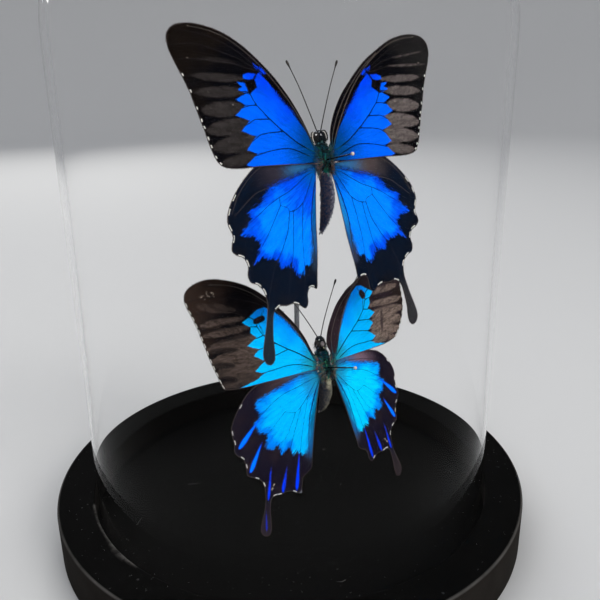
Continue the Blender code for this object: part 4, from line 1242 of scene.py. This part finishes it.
legLook = {
    "radii": (0.36, 0.30, 0.22, 0.14),  # at each bend
    "swell": 0.18,  # share by which each part is thicker at its middle
    "steps": 9,
    "bends": [  # of each leg: side, rise from the thorax's lower surface, distance along the body
        [(1.0, 1.1, 2.6), (2.1, 0.1, 5.2), (1.5, -0.7, 2.2), (1.3, -0.8, 5.8)],
        [(1.1, 0.9, 0.4), (2.4, -0.4, 2.4), (2.0, -0.9, -2.2), (1.5, -0.9, 0.8)],
        [(1.0, 0.9, -1.6), (2.3, -0.5, -3.6), (1.7, -1.1, -8.0), (0.9, -2.6, -12.0)],
    ],
}

feelerLook = {
    "root": 0.19,  # radius
    "taper": 0.05,
    "club": 0.26,  # what the club adds to the radius
    "clubAt": 0.95,  # share of the length
    "clubLength": 0.055,
    "rings": 42,
    "ringDepth": 0.06,
}

pinLook = {
    "radius": 0.27,
    "ball": 0.58,
    "point": 2.5,
    "rodY": -2.5,  # where the points end, at the middle of the rod
    "pastMiddle": 0.3,
    "steel": (0.012, 0.013, 0.016),
    "head": (0.56, 0.49, 0.41),
}


def prepare(figure):
    # the sections as a smooth row, with the direction of the body at each
    rows = smoothLine(figure["sections"], 8)
    rows[:, 1:3] = np.maximum(rows[:, 1:3], 0.05)
    figure["smooth"] = rows
    slopes = np.gradient(np.column_stack([np.zeros(len(rows)), rows[:, 0], rows[:, 3]]), axis=0)
    figure["slopes"] = slopes / np.linalg.norm(slopes, axis=1)[:, None]


def bodySurface(figure, along, angle):
    # a point on the body, with the way out from it: along is 0 at the head and 1 at the tail
    count = len(figure["smooth"])
    at = np.clip(along, 0, 1) * (count - 1)
    y, width, depth, lift = (np.interp(at, np.arange(count), column) for column in figure["smooth"].T)
    slope = np.array([np.interp(at, np.arange(count), column) for column in figure["slopes"].T]).T
    start = bodyLook["bendFrom"]
    share = np.clip((y - start) / (figure["tail"] - start), 0, 1)
    middle = np.column_stack([figure["bend"] * np.sin(np.pi * share), y, lift])
    across = np.cross(slope, [0.0, 0.0, 1.0])
    across /= np.linalg.norm(across, axis=1)[:, None]
    out = np.cross(across, slope)
    c, s = np.cos(angle)[:, None], np.sin(angle)[:, None]
    abdomen = np.clip((figure["waist"] - 1.0 - y) / 2.0, 0, 1)
    phase = share * bodyLook["segments"] * 2 * np.pi
    girth = 1 - bodyLook["groove"] * abdomen * np.clip(np.cos(phase), 0, 1) ** 4
    spot = middle + (across * c * width[:, None] + out * s * depth[:, None]) * girth[:, None]
    way = across * c * depth[:, None] + out * s * width[:, None]
    way /= np.linalg.norm(way, axis=1)[:, None] + 1e-9
    return spot, way


def shareAt(figure, y):
    # where along the body a given distance lies, from 0 to 1
    rows = figure["smooth"]
    return np.interp(-np.asarray(y, float), -rows[:, 0], np.linspace(0, 1, len(rows)))


def makeBody(name, figure, matrix, material):
    sides, rings = bodyLook["sides"], bodyLook["rings"]
    waist, neck = figure["waist"], figure["neck"]
    top, tail = figure["sections"][0][0], figure["sections"][-1][0]
    shares = shareAt(figure, np.linspace(top, tail, rings))
    angles = np.tile(np.arange(sides) * 2 * math.pi / sides, rings)
    spots, _ = bodySurface(figure, np.repeat(shares, sides), angles)
    x, y, _ = spots.T
    lump = np.sin(x * 2.6 + 1) * np.sin(y * 1.9) * bodyLook["lump"]
    spots[:, 2] += np.where((y < neck) & (y > waist), lump, 0)
    shell = meshObject(f"{name}_body_shell", spots * mm, ringFaces(0, rings, sides), material, matrix)
    # shares of each part, which fade over a mm or more at its ends
    fields = {
        "thorax": np.clip((y - waist) / 1.5, 0, 1) * np.clip((neck + 0.6 - y) / 1.2, 0, 1),
        "belly": np.clip((waist + 0.6 - y) / 1.6, 0, 1),
        "cream": np.clip((waist + 0.8 - y) / 1.0, 0, 1) * np.clip((y - waist + 5.5) / 3.0, 0, 1),
        "top": np.sin(angles),
        "side": -np.cos(angles),
    }
    for field, values in fields.items():
        numberField(shell.data, field, values)
    vectorField(shell.data, "skin", spots)
    return keep(shell, "insect_body", f"{name}_body")


def bodySkin(name):
    look = Look(f"{name}_body_skin")
    read, mix, add, times, ease = look.read, look.mix, look.add, look.times, look.ease
    skin, top = read("skin", "Vector"), read("top")
    flecks = ease(look.grain(skin, 1.3, 4, 0.75), 0.52, 0.58)
    flecks = times(times(flecks, read("thorax")), ease(top, 0.1, 0.8))
    colour = mix(flecks, bodyLook["dark"], bodyLook["green"])
    # dark along the back of the abdomen; the pale colour of its sides is painted on the right only, as
    # painted light from the right, and the left stays dark as painted shade
    blotch = look.grain(skin, 1.2, 4, 0.75)
    back = mix(ease(blotch, 0.44, 0.56), bodyLook["navy"][name], bodyLook["brown"][name])
    flank = mix(blotch, scaled(bodyLook["flank"][name], 0.3), bodyLook["flank"][name])
    turn = add(times(top, 0.45), read("side"), 0.85)
    turn = add(turn, look.calc("SUBTRACT", blotch, 0.5), 3)
    paleLitFlankPart = ease(turn, 0.35, 0.95) if name == "upper" else ease(turn, 0, 0.8)
    colour = mix(read("belly"), colour, mix(paleLitFlankPart, back, flank))
    # the pale patch on the right side only, partly painted light
    if name == "lower":
        colour = mix(times(ease(turn, 0.35, 0.75), read("cream")), colour, bodyLook["cream"])
    look.bump(look.grain(skin, 3, 4, 0.75), 0.9, 0.45)
    return look.done(colour, 0.55, 0.08)


def pickTints(colours, count, spread=0.3):
    picked = np.array(colours)[rng.integers(0, len(colours), count)]
    return picked * rng.uniform(1 - spread, 1 + spread, (count, 1))


def clumpTints(spots, colours, size, spread=0.25):
    # hairs whose roots lie together share one colour, so the coat looks mottled
    area = np.prod(np.ptp(spots[:, :2], axis=0)) + 1.0
    count = max(int(area / size ** 2), 8)
    centres = spots[rng.integers(0, len(spots), count)]
    nearest = np.argmin(np.linalg.norm(spots[:, None, :] - centres[None], axis=2), axis=1)
    picked = np.array(colours)[rng.integers(0, len(colours), count)][nearest]
    return picked * rng.uniform(1 - spread, 1 + spread, (len(spots), 1))


def joined(parts):
    # one set of roots, ways, lengths, bends and tints out of many; each part has one bend for all its hairs
    spread = [(roots, ways, lengths, np.broadcast_to(bend, roots.shape), tints)
              for roots, ways, lengths, bend, tints in parts]
    return tuple(np.concatenate(column) for column in zip(*spread))


def coatHairs(name, figure):
    # the coat of the head, thorax and abdomen
    brown, flank, navy = (bodyLook[key][name] for key in ("brown", "flank", "navy"))
    neck, waist, head, tail = figure["neck"], figure["waist"], figure["sections"][1][0], figure["tail"] + 0.8
    groups = {  # y range, angle range, length range, lean toward the tail, colours
        "thorax": (neck - 0.4, waist, (-0.4, 3.5), (0.4, 1.0), 1.0, hairColours["thorax"]),
        "abdomen": (waist + 0.4, tail, (-3.1, 3.1), (0.25, 0.6), 1.8,
                    [scaled(brown, 0.4), brown, dark, dark, scaled(flank, 0.5)]),
        "head": (head, neck + 0.4, (0.2, 2.9), (0.2, 0.6), -0.3, [dark] * 4 + [brown]),
        "neck": (neck + 2.0, neck - 1.8, (-0.6, 3.7), (0.7, 1.3), 0.1, hairColours["neck"]),
    }
    parts = []
    for group, (start, end, sweep, size, lean, colours) in groups.items():
        count = bodyLook["hairs"][group]
        turn = rng.uniform(*sweep, count)
        spot, way = bodySurface(figure, shareAt(figure, rng.uniform(end, start, count)), turn)
        way = way + [0, -lean, 0] + rng.normal(0, 0.35, (count, 3))
        lengths = rng.uniform(*size, count)
        tints = clumpTints(spot, colours, bodyLook["clump"])
        if group == "abdomen":  # navy on its left as painted shade, brown in its middle, pale on its right side as painted light from the right
            navyTurn, paleTurn = bodyLook["abdomenTurns"][name]
            turned = 0.45 * np.sin(turn) - 0.85 * np.cos(turn) + rng.normal(0, 0.18, count)
            pale = clumpTints(spot, [flank, scaled(flank, 0.5), brown], 0.6)
            middle = clumpTints(spot, [brown, navy, navy, dark, scaled(flank, 0.4)], 1.1)
            tints = np.where((turned > paleTurn)[:, None], pale, middle)
            tints = np.where((turned < navyTurn)[:, None], navy, tints)
        parts.append((spot, way, lengths, (0, -0.35, -0.1), tints))
    return parts


def rootHairs(name, side):
    # tufts that fan out over each wing's root, brown at the body and blue further out
    counts, clump, waist = bodyLook["hairs"], bodyLook["clump"], figures[name]["waist"]
    close, farOut, rear = (hairColours[key] + (moreHairColours[key] if name == "lower" else [])
                           for key in ("close", "far", "rear"))
    count = counts["root"]
    y = np.clip(rng.normal(-0.7, 2.0, count), -5.0, 3.3)
    out = 1.5 + np.abs(rng.normal(0, 1.25, count))
    sideName = "left" if side < 0 else "right"
    seats = [specimens[name]["wings"][f"{wing}_{sideName}"][1] for wing in ("forewing", "hindwing")]
    above = [seat[2] - np.tan(math.radians(side * seat[3])) * (out - seat[0]) * side for seat in seats]
    skin = np.where(y > -1.8, above[0], above[1])
    near = np.clip((2.9 - out) / 1.3, 0, 1)
    rise = np.maximum(skin + 0.10, 1.5 * near - 0.3) + rng.uniform(0, 0.25, count)
    fan = np.column_stack([np.full(count, side * 1.0), (y + 1.2) * 0.30 + rng.normal(0, 0.25, count),
                           rng.normal(0.02, 0.10, count)])
    spot = np.column_stack([side * out, y, rise])
    isFar = out + rng.normal(0, 0.35, count) > 2.9
    tints = np.where(isFar[:, None], pickTints(farOut, count), clumpTints(spot, close, clump * 0.5))
    isRear = ~isFar & (y + rng.normal(0, 0.8, count) < -1.9)
    tints = np.where(isRear[:, None], clumpTints(spot, rear, clump * 0.4), tints)
    parts = [(spot, fan, rng.uniform(0.6, 1.7, count), (0, -0.05, -0.1), tints)]
    # longer brown hairs that close the gap between waist and hindwing
    count = counts["waist"]
    y = waist + rng.normal(0.9, 1.0, count)
    spot = np.column_stack([side * rng.uniform(1.1, 2.5, count), y, rng.uniform(-1.1, 0.3, count)])
    way = np.column_stack([side * rng.uniform(0.2, 1.0, count), rng.normal(-0.9, 0.3, count),
                           rng.normal(0.0, 0.15, count)])
    lengths = rng.uniform(0.8, 1.6, count)
    parts.append((spot, way, lengths, (0, -0.1, -0.1), clumpTints(spot, rear, clump * 0.5)))
    # a short tuft where the wings overlap, pale on the right, partly as a painted highlight
    count = counts["overlap"]
    spot = np.array([side * 3.6, -1.9, max(seats[0][2], seats[1][2]) + 0.35])
    spot = spot + rng.normal(0, 1, (count, 3)) * [0.6, 0.12, 0.08]
    way = np.tile([side * 1.0, 0.15, 0.15], (count, 1)) + rng.normal(0, 0.2, (count, 3))
    lengths = rng.uniform(0.3, 0.8, count)
    parts.append((spot, way, lengths, 0, pickTints(hairColours["overlap"][sideName], count)))
    return parts


def brightScales(figure):
    # wider scales that glint on the thorax, a green patch behind it, and the little tufts
    counts = bodyLook["hairs"]
    y = rng.uniform(figure["waist"] - 1.5, figure["neck"], counts["flecks"])
    angle = rng.normal(math.pi / 2, 0.75, counts["flecks"])
    spot, way = bodySurface(figure, shareAt(figure, y), angle)
    inPatch = np.sin(spot[:, 0] * 2.3 + spot[:, 1] * 1.1) + np.sin(spot[:, 1] * 2.7 - spot[:, 0]) > -0.4
    spot, way = spot[inPatch], way[inPatch]
    count = len(spot)
    tints = clumpTints(spot, hairColours["flecks"], 0.6)
    way = way * 0.5 + [0, -1, 0] + rng.normal(0, 0.3, (count, 3))
    parts = [(spot, way, rng.uniform(0.25, 0.5, count), (0, -0.2, -0.2), tints)]
    count = counts["patch"]
    spot, way = bodySurface(figure, shareAt(figure, rng.normal(figure["waist"] + 0.2, 0.5, count)),
                            rng.normal(math.pi / 2 + 0.25, 0.22, count))
    way = way * 0.6 + [0, -1, 0] + rng.normal(0, 0.3, (count, 3))
    lengths = rng.uniform(0.3, 0.5, count)
    parts.append((spot, way, lengths, (0, -0.2, -0.2), pickTints(hairColours["patch"], count)))
    for x, y, z, count, spread, colour in figure["tufts"]:
        spot = np.array([x, y, z]) + rng.normal(0, spread, (count, 3)) * [1, 1, 0.4]
        way = rng.normal(0, 0.4, (count, 3)) + [-0.35, 0.2, 0.8]
        parts.append((spot, way, rng.uniform(0.2, 0.4, count), 0, pickTints([colour], count)))
    return parts


def makeHairs(name, figure, matrix, material):
    coat = coatHairs(name, figure) + rootHairs(name, -1) + rootHairs(name, 1)
    hairObject(f"{name}_body_hairs", joined(coat), bodyLook["hairRadius"], material, "insect_body", matrix)
    scales = joined(brightScales(figure))
    hairObject(f"{name}_body_scales", scales, bodyLook["scaleRadius"], material, "insect_body", matrix)


def makeEyes(name, figure, matrix, eyeMaterials, hairMaterial):
    roots, ways, lengths, tints = [], [], [], []
    shape = bodyLook["eyeShape"]
    c, s = bodyLook["eyeView"]
    for sideName in ("left", "right"):
        *middle, radius = figure["eyes"][sideName]
        where = Matrix.Translation(Vector(middle) * mm) @ Matrix.Diagonal((*shape, 1.0))
        keep(ballObject(f"{name}_eye_{sideName}", [(radius, where)], 36, eyeMaterials[sideName], matrix),
             "insect_body")
        # a rim of white scales, and dark lashes further out
        line = figure["rims"].get(sideName)
        if not line:
            continue
        line = np.repeat(evenly(smoothLine(line, 8), 0.012), 2, axis=0)
        lashes = line * bodyLook["lashReach"]
        for (across, up), isLash in [(p, False) for p in line] + [(p, True) for p in lashes]:
            deep = math.sqrt(max(0.0, 1 - across ** 2 - up ** 2))
            ball = np.array([c * across - s * deep, up, s * across + c * deep])
            ball /= np.linalg.norm(ball)
            rise = 0.0 if isLash else bodyLook["rimRise"]
            roots.append(np.array(middle) + ball * np.array(shape) * (radius + rise))
            ways.append(ball * 0.8 + rng.normal(0, 0.25, 3) + ([0, 0, 0] if isLash else [-0.2, 0.2, 0.3]))
            lengths.append(rng.uniform(0.35, 0.6) if isLash else rng.uniform(0.15, 0.30))
            tints.append(np.array(bodyLook["dark" if isLash else "whiteScale"]) * rng.uniform(0.7, 1.25))
    if roots:
        roots = np.array(roots) + rng.normal(0, 0.05, (len(roots), 3))
        hairs = (roots, ways, lengths, 0, tints)
        hairObject(f"{name}_eye_rims", hairs, bodyLook["rimRadius"], hairMaterial, "insect_body", matrix)


def makeClaspers(name, figure, matrix, material):
    # two small pale lobes at the end of the abdomen
    y, _, _, lift = figure["smooth"][-8]
    turn, outward, up = clasperLook["turn"]
    shape = Matrix.Diagonal((*clasperLook["size"], 1.0))
    end = Vector((0.0, y, lift)) + Vector(clasperLook["shift"])
    lobes = []
    for side in (-1, 1):
        swing = Matrix.Rotation(math.radians(side * outward + turn), 4, "Z")
        swing = swing @ Matrix.Rotation(math.radians(up), 4, "X")
        place = Matrix.Translation((end + Vector((side * clasperLook["apart"], 0.0, 0.0))) * mm)
        lobes.append((1.0, place @ swing @ shape))
    keep(ballObject(f"{name}_claspers", lobes, 18, material, matrix), "insect_body")


def makeLegs(name, figure, matrix, material):
    thorax = max(figure["sections"], key=lambda row: row[2])
    underside = thorax[3] - thorax[2]
    sizes, steps = legLook["radii"], legLook["steps"]
    swell = 1 + legLook["swell"] * np.sin(np.linspace(0, math.pi, steps))
    lines = []
    for side in (-1, 1):
        for leg in legLook["bends"]:
            points = np.array([(side * across, along, underside + rise) for across, rise, along in leg])
            for i in range(len(points) - 1):
                run = np.linspace(points[i], points[i + 1], steps)
                lines.append((run, np.linspace(sizes[i], sizes[i + 1], steps) * swell))
    verts, faces = tubeMesh(lines, 10)
    leg = meshObject(f"{name}_legs", verts * mm, faces, material, matrix)
    return keep(leg, "insect_body")


def makeAntennae(name, figure, matrix, material):
    f = feelerLook
    for sideName, side in (("left", -1), ("right", 1)):
        line = smoothLine([(side * x, y, z) for x, y, z in figure["antenna"]], 40)
        t = np.linspace(0, 1, len(line))
        club = f["club"] * np.exp(-((t - f["clubAt"]) / f["clubLength"]) ** 2)
        rings = 1 + f["ringDepth"] * np.sin(t * 2 * math.pi * f["rings"])
        radii = (f["root"] - f["taper"] * t + club) * rings * np.clip((1.02 - t) / 0.03, 0.2, 1)
        verts, faces = tubeMesh([(line, radii)], 12)
        feeler = meshObject(f"{name}_antenna_{sideName}_fine", verts * mm, faces, material, matrix)
        keep(feeler, "insect_body", f"{name}_antenna_{sideName}")


def makePin(name, figure, matrix, materials):
    axis = matrix @ Matrix.Translation(Vector((0.0, figure["pinUp"], 0.0)) * mm)
    start = axis.translation / mm
    way = (axis.to_3x3() @ Vector((0.0, 0.0, 1.0))).normalized()
    back = (pinLook["rodY"] - start.y) / way.y - pinLook["pastMiddle"]
    front, ball, r, point = figure["pinFront"], pinLook["ball"], pinLook["radius"], pinLook["point"]
    head = corner(0.0, front, ball, 90, -70, 16)
    head[0] = (0.0, front + ball)
    verts, faces = turnedMesh([*head, (r, front - ball * 1.02), (0.0, front - ball * 1.02)], 32)
    keep(meshObject(f"{name}_pin_head", verts * mm, faces, materials["head"], axis), "steel_pin")
    verts, faces = turnedMesh([(0.0, front - ball * 0.6), (r, front - ball * 0.6), (r, back + point),
                               (r * 0.72, back + point * 0.5), (r * 0.3, back + 0.3), (0.0, back)], 24)
    rod = meshObject(f"{name}_pin_shaft", verts * mm, faces, materials["shaft"], axis)
    rod.data.set_sharp_from_angle(angle=math.radians(50))
    keep(rod, "steel_pin", f"{name}_pin")


def chitin(name, colour, roughness, coat=0.0):
    look = Look(name)
    tone = look.grain(look.where(), 1200, 3, 0.6)
    look.bump(tone, 0.2, 0.05)
    spotty = look.mix(tone, scaled(colour, 0.5), scaled(colour, 1.5))
    return look.done(spotty, roughness, 0.2, CoatWeight=coat, CoatRoughness=0.08)


def metal(name, colour, roughness, metallic=0.0):
    look = Look(name)
    wear = look.grain(look.where(), 700, 4, 0.6)
    look.bump(wear, 0.08, 0.03)
    worn = look.ease(wear, 0.2, 0.8, roughness * 0.7, roughness * 1.4)
    return look.done(look.mix(wear, scaled(colour, 0.78), colour), worn, Metallic=metallic)


hairMaterial = hairSkin("body_hair", 0.65)
clasperMaterial = chitin("clasper_skin", bodyLook["clasper"], 0.55)
limbMaterial = chitin("leg_and_antenna_skin", bodyLook["limb"], 0.45)
pinMaterials = {
    "shaft": metal("pin_black_enamel", pinLook["steel"], 0.22),
    "head": metal("pin_head_brass", pinLook["head"], 0.25, metallic=0.4),
}
for name, figure in figures.items():
    matrix = specimenFrame(specimens[name])
    prepare(figure)
    makeBody(name, figure, matrix, bodySkin(name))
    makeHairs(name, figure, matrix, hairMaterial)
    eyeMaterials = {side: chitin(f"{name}_{side}_eye_gloss", colour, 0.35, coat=0.08)
                    for side, colour in zip(("left", "right"), bodyLook["eyes"][name])}
    makeEyes(name, figure, matrix, eyeMaterials, hairMaterial)
    makeClaspers(name, figure, matrix, clasperMaterial)
    makeLegs(name, figure, matrix, limbMaterial)
    makeAntennae(name, figure, matrix, limbMaterial)
    makePin(name, figure, matrix, pinMaterials)
    say(f"{name} body, legs, antennae and pin")

# base, rod and dome

baseLook = {
    "radius": 90.0, "height": 18.0, "edge": 0.9,
    "recess": 76.5, "floor": 8.0, "lip": 0.6, "foot": 0.5,  # roundings at the recess's top and foot
    "steps": 256,
    "floorRings": (20.0, 40.0, 60.0, 70.0),  # radii of extra points, for what is painted on the flats
    "rimRings": (77.6, 78.2, 79.0, 80.5, 83.0, 86.0, 88.4),
    "socket": (3.5, -2.5, 1.25, 5.0),  # x, y, radius, depth
    "black": (0.0027, 0.0027, 0.0026),
    # the turned sides' colour, paler than the black as painted light
    "wall": (0.0172, 0.0150, 0.0132),
    "edgeWear": (0.085, 0.080, 0.075),
    "dust": (0.12, 0.12, 0.12),
    "wear": (0.35, 0.5),  # how far in from the outer edge it is palest, as wear and as a painted highlight, and half the width of that
    "recessShade": 0.24,  # share of the turned sides' painted light that the recess's wall keeps, which leaves it in painted shade
    "smear": (76.6, 197.0, 228.0),  # a painted highlight along the recess's top inner edge: radius in mm, from and to in degrees
    "smearWidth": (0.7, 1.1),  # in mm along most of it, and what is added at its widest
    "specks": 300,
    "fibres": 8,
    "dustGap": (4.5, 8),  # how far specks and fibres keep from the wall of the recess
    "hairRadius": 0.05,
    "hair": (0.42, 0.42, 0.42),
}
domeLook = {
    "radius": 75.0, "wall": 2.5, "height": 245.0,
    "foot": 8.3, "footRound": 0.8,
    "steps": 160,
    "ior": 1.05,
}
rodLook = {"colour": (0.140, 0.148, 0.165), "roughness": 0.32}


def paintedWood():
    look = Look("black_painted_wood")
    read, mix, add, times, ease, where = look.read, look.mix, look.add, look.times, look.ease, look.where()
    normal = look.node("SeparateXYZ", {0: look.node("NewGeometry", {})["Normal"]})
    upright = ease(look.calc("ABSOLUTE", normal["Z"]), 0.25, 0.75, 1, 0)
    cloud = look.grain(where, 28, 5, 0.6)
    specks = ease(look.grain(where, 620, 2, 0.4), 0.7, 0.76)
    film = ease(cloud, 0.42, 0.78, 0, 0.012)
    dusty = look.calc("ADD", film, times(specks, 0.25), clamp=True)
    colour = mix(dusty, baseLook["black"], baseLook["dust"])
    # turned sides are painted paler than the matte flats, as painted light on them; the outer edge is
    # painted paler, as worn paint and as a painted highlight
    wall = baseLook["wall"]
    paintedLitWall = mix(look.grain(where, 90, 5, 0.7), scaled(wall, 0.55), scaled(wall, 1.45))
    colour = mix(times(upright, read("turned")), colour, paintedLitWall)
    colour = mix(times(read("edge"), ease(cloud, 0.3, 0.62, 0.25, 1)), colour, baseLook["edgeWear"])
    # a painted highlight along the left of the recess's inner edge
    smear = times(read("smear"), ease(look.grain(where, 260, 4, 0.7), 0.35, 0.65, 0.2, 0.9))
    look.bump(add(look.grain(where, 1500, 2, 0.6), cloud, 3), 0.06, 0.05)
    return look.done(mix(smear, colour, baseLook["edgeWear"]), ease(cloud, 0.3, 0.8, 0.66, 0.82), 0.01)


def boreSocket(base, x, y, radius, depth, floor):
    past = 1.0  # how far the cutter stands above the floor
    cutter = bmesh.new()
    middle = Vector((x, y, floor - depth / 2 + past / 2)) * mm
    bmesh.ops.create_cone(cutter, cap_ends=True, segments=32, radius1=radius * mm, radius2=radius * mm,
                          depth=(depth + past) * mm, matrix=Matrix.Translation(middle))
    mesh = bpy.data.meshes.new("socket_cutter")
    cutter.to_mesh(mesh)
    cutter.free()
    tool = bpy.data.objects.new("socket_cutter", mesh)
    bpy.context.scene.collection.objects.link(tool)
    cut = base.modifiers.new("Socket", "BOOLEAN")
    cut.operation = "DIFFERENCE"
    cut.solver = "EXACT"
    cut.object = tool
    bpy.context.view_layer.update()
    done = bpy.data.meshes.new_from_object(base.evaluated_get(bpy.context.evaluated_depsgraph_get()))
    base.modifiers.clear()
    base.data = done
    bpy.data.objects.remove(tool)


def makeBase(b):
    top, edge, lip, foot = (b[key] for key in ("height", "edge", "lip", "foot"))
    profile = [(r, b["floor"]) for r in (0.0, *b["floorRings"], b["recess"] - foot)]
    profile += corner(b["recess"] - foot, b["floor"] + foot, foot, -90, 0, 4)[1:]
    profile += corner(b["recess"] + lip, top - lip, lip, 180, 90)
    profile += [(r, top) for r in b["rimRings"]]
    profile += corner(b["radius"] - edge, top - edge, edge, 90, 0)
    profile += corner(b["radius"] - edge, edge, edge, 0, -90)
    profile.append((0.0, 0.0))
    verts, faces = turnedMesh(profile, b["steps"])
    base = meshObject("base_fine", verts * mm, faces, paintedWood())
    boreSocket(base, *b["socket"], b["floor"])
    base.data.set_sharp_from_angle(angle=math.radians(30))
    x, y, z = np.array([tuple(v.co) for v in base.data.vertices]).T / mm
    reach, angle = np.hypot(x, y), np.degrees(np.arctan2(y, x)) % 360
    # the outer edge's pale band: worn paint and a painted highlight
    edgePaleAt, edgePaleWidth = b["wear"]
    outer = np.clip(1 - np.abs(np.hypot(reach - b["radius"], z - top) - edgePaleAt) / edgePaleWidth, 0, 1)
    numberField(base.data, "edge", outer)
    numberField(base.data, "turned", np.where(reach > b["recess"] + 3, 1.0, b["recessShade"]))
    # where the painted highlight lies along the recess's inner edge
    radius, start, end = b["smear"]
    narrow, added = b["smearWidth"]
    share = np.clip((angle - start) / (end - start), 0, 1)
    width = narrow + added * np.exp(-((share - 0.78) / 0.16) ** 2)
    near = np.clip(1.2 - np.hypot(reach - radius, z - top) / width, 0, 1)
    numberField(base.data, "smear", near * (share > 0) * (share < 1))
    return keep(base, "black_base", "base")


def makeDust(b):
    # loose specks and fibres that lie in the recess and on the rim
    hairs = []  # root, way, length, bend
    speckGap, fibreGap = b["dustGap"]
    for _ in range(b["specks"]):
        a, r = rng.uniform(0, 2 * math.pi), b["radius"] * math.sqrt(rng.uniform(0, 1))
        if b["recess"] - speckGap < r < b["recess"] + 1 or r > b["radius"] - 1:
            continue
        z = b["floor"] if r < b["recess"] else b["height"]
        hairs.append(((r * math.cos(a), r * math.sin(a), z + 0.06),
                      rng.normal(0, 1, 3) * [1, 1, 0.05], rng.uniform(0.12, 0.4),
                      rng.normal(0, 0.2, 3) * [1, 1, 0]))
    for _ in range(b["fibres"]):
        a, r = rng.uniform(0, 2 * math.pi), (b["recess"] - fibreGap) * math.sqrt(rng.uniform(0, 1))
        hairs.append(((r * math.cos(a), r * math.sin(a), b["floor"] + 0.07),
                      rng.normal(0, 1, 3) * [1, 1, 0.01], rng.uniform(1.0, 3.0),
                      rng.normal(0, 0.5, 3) * [1, 1, 0]))
    tints = np.array(b["hair"]) * rng.uniform(0.4, 1.2, (len(hairs), 1))
    skin = hairSkin("dust", 0.9)
    return hairObject("dust_on_base", (*zip(*hairs), tints), b["hairRadius"], skin, "black_base", sides=4)


def clearGlass():
    look = Look("clear_glass_fine")
    hazy = look.ease(look.grain(look.where(), 30, 3), 0.62, 0.8, 0, 0.02)
    return look.done((1.0, 1.0, 1.0), hazy, TransmissionWeight=1.0, IOR=domeLook["ior"])


def makeDome(d):
    inner = d["radius"] - d["wall"]
    shoulder = d["foot"] + d["height"] - d["radius"]
    outside = corner(0.0, shoulder, d["radius"], 90, 0, 40)
    inside = corner(0.0, shoulder, inner, 0, 90, 40)
    outside[0] = (0.0, shoulder + d["radius"])
    inside[-1] = (0.0, shoulder + inner)
    r = d["footRound"]
    foot = corner(d["radius"] - r, d["foot"] + r, r, 0, -90, 4)
    foot += corner(inner + r, d["foot"] + r, r, -90, -180, 4)
    verts, faces = turnedMesh(outside + foot + inside, d["steps"])
    dome = meshObject("glass_dome_fine", verts * mm, faces, clearGlass())
    dome.visible_shadow = False
    return keep(dome, "clear_glass", "glass_dome")


makeBase(baseLook)
makeDust(baseLook)
makeDome(domeLook)
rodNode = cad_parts["support_rod"]
rodNode.data.materials.clear()
rodNode.data.materials.append(metal("rod_paint", rodLook["colour"], rodLook["roughness"]))
say("base, dust, dome and rod")
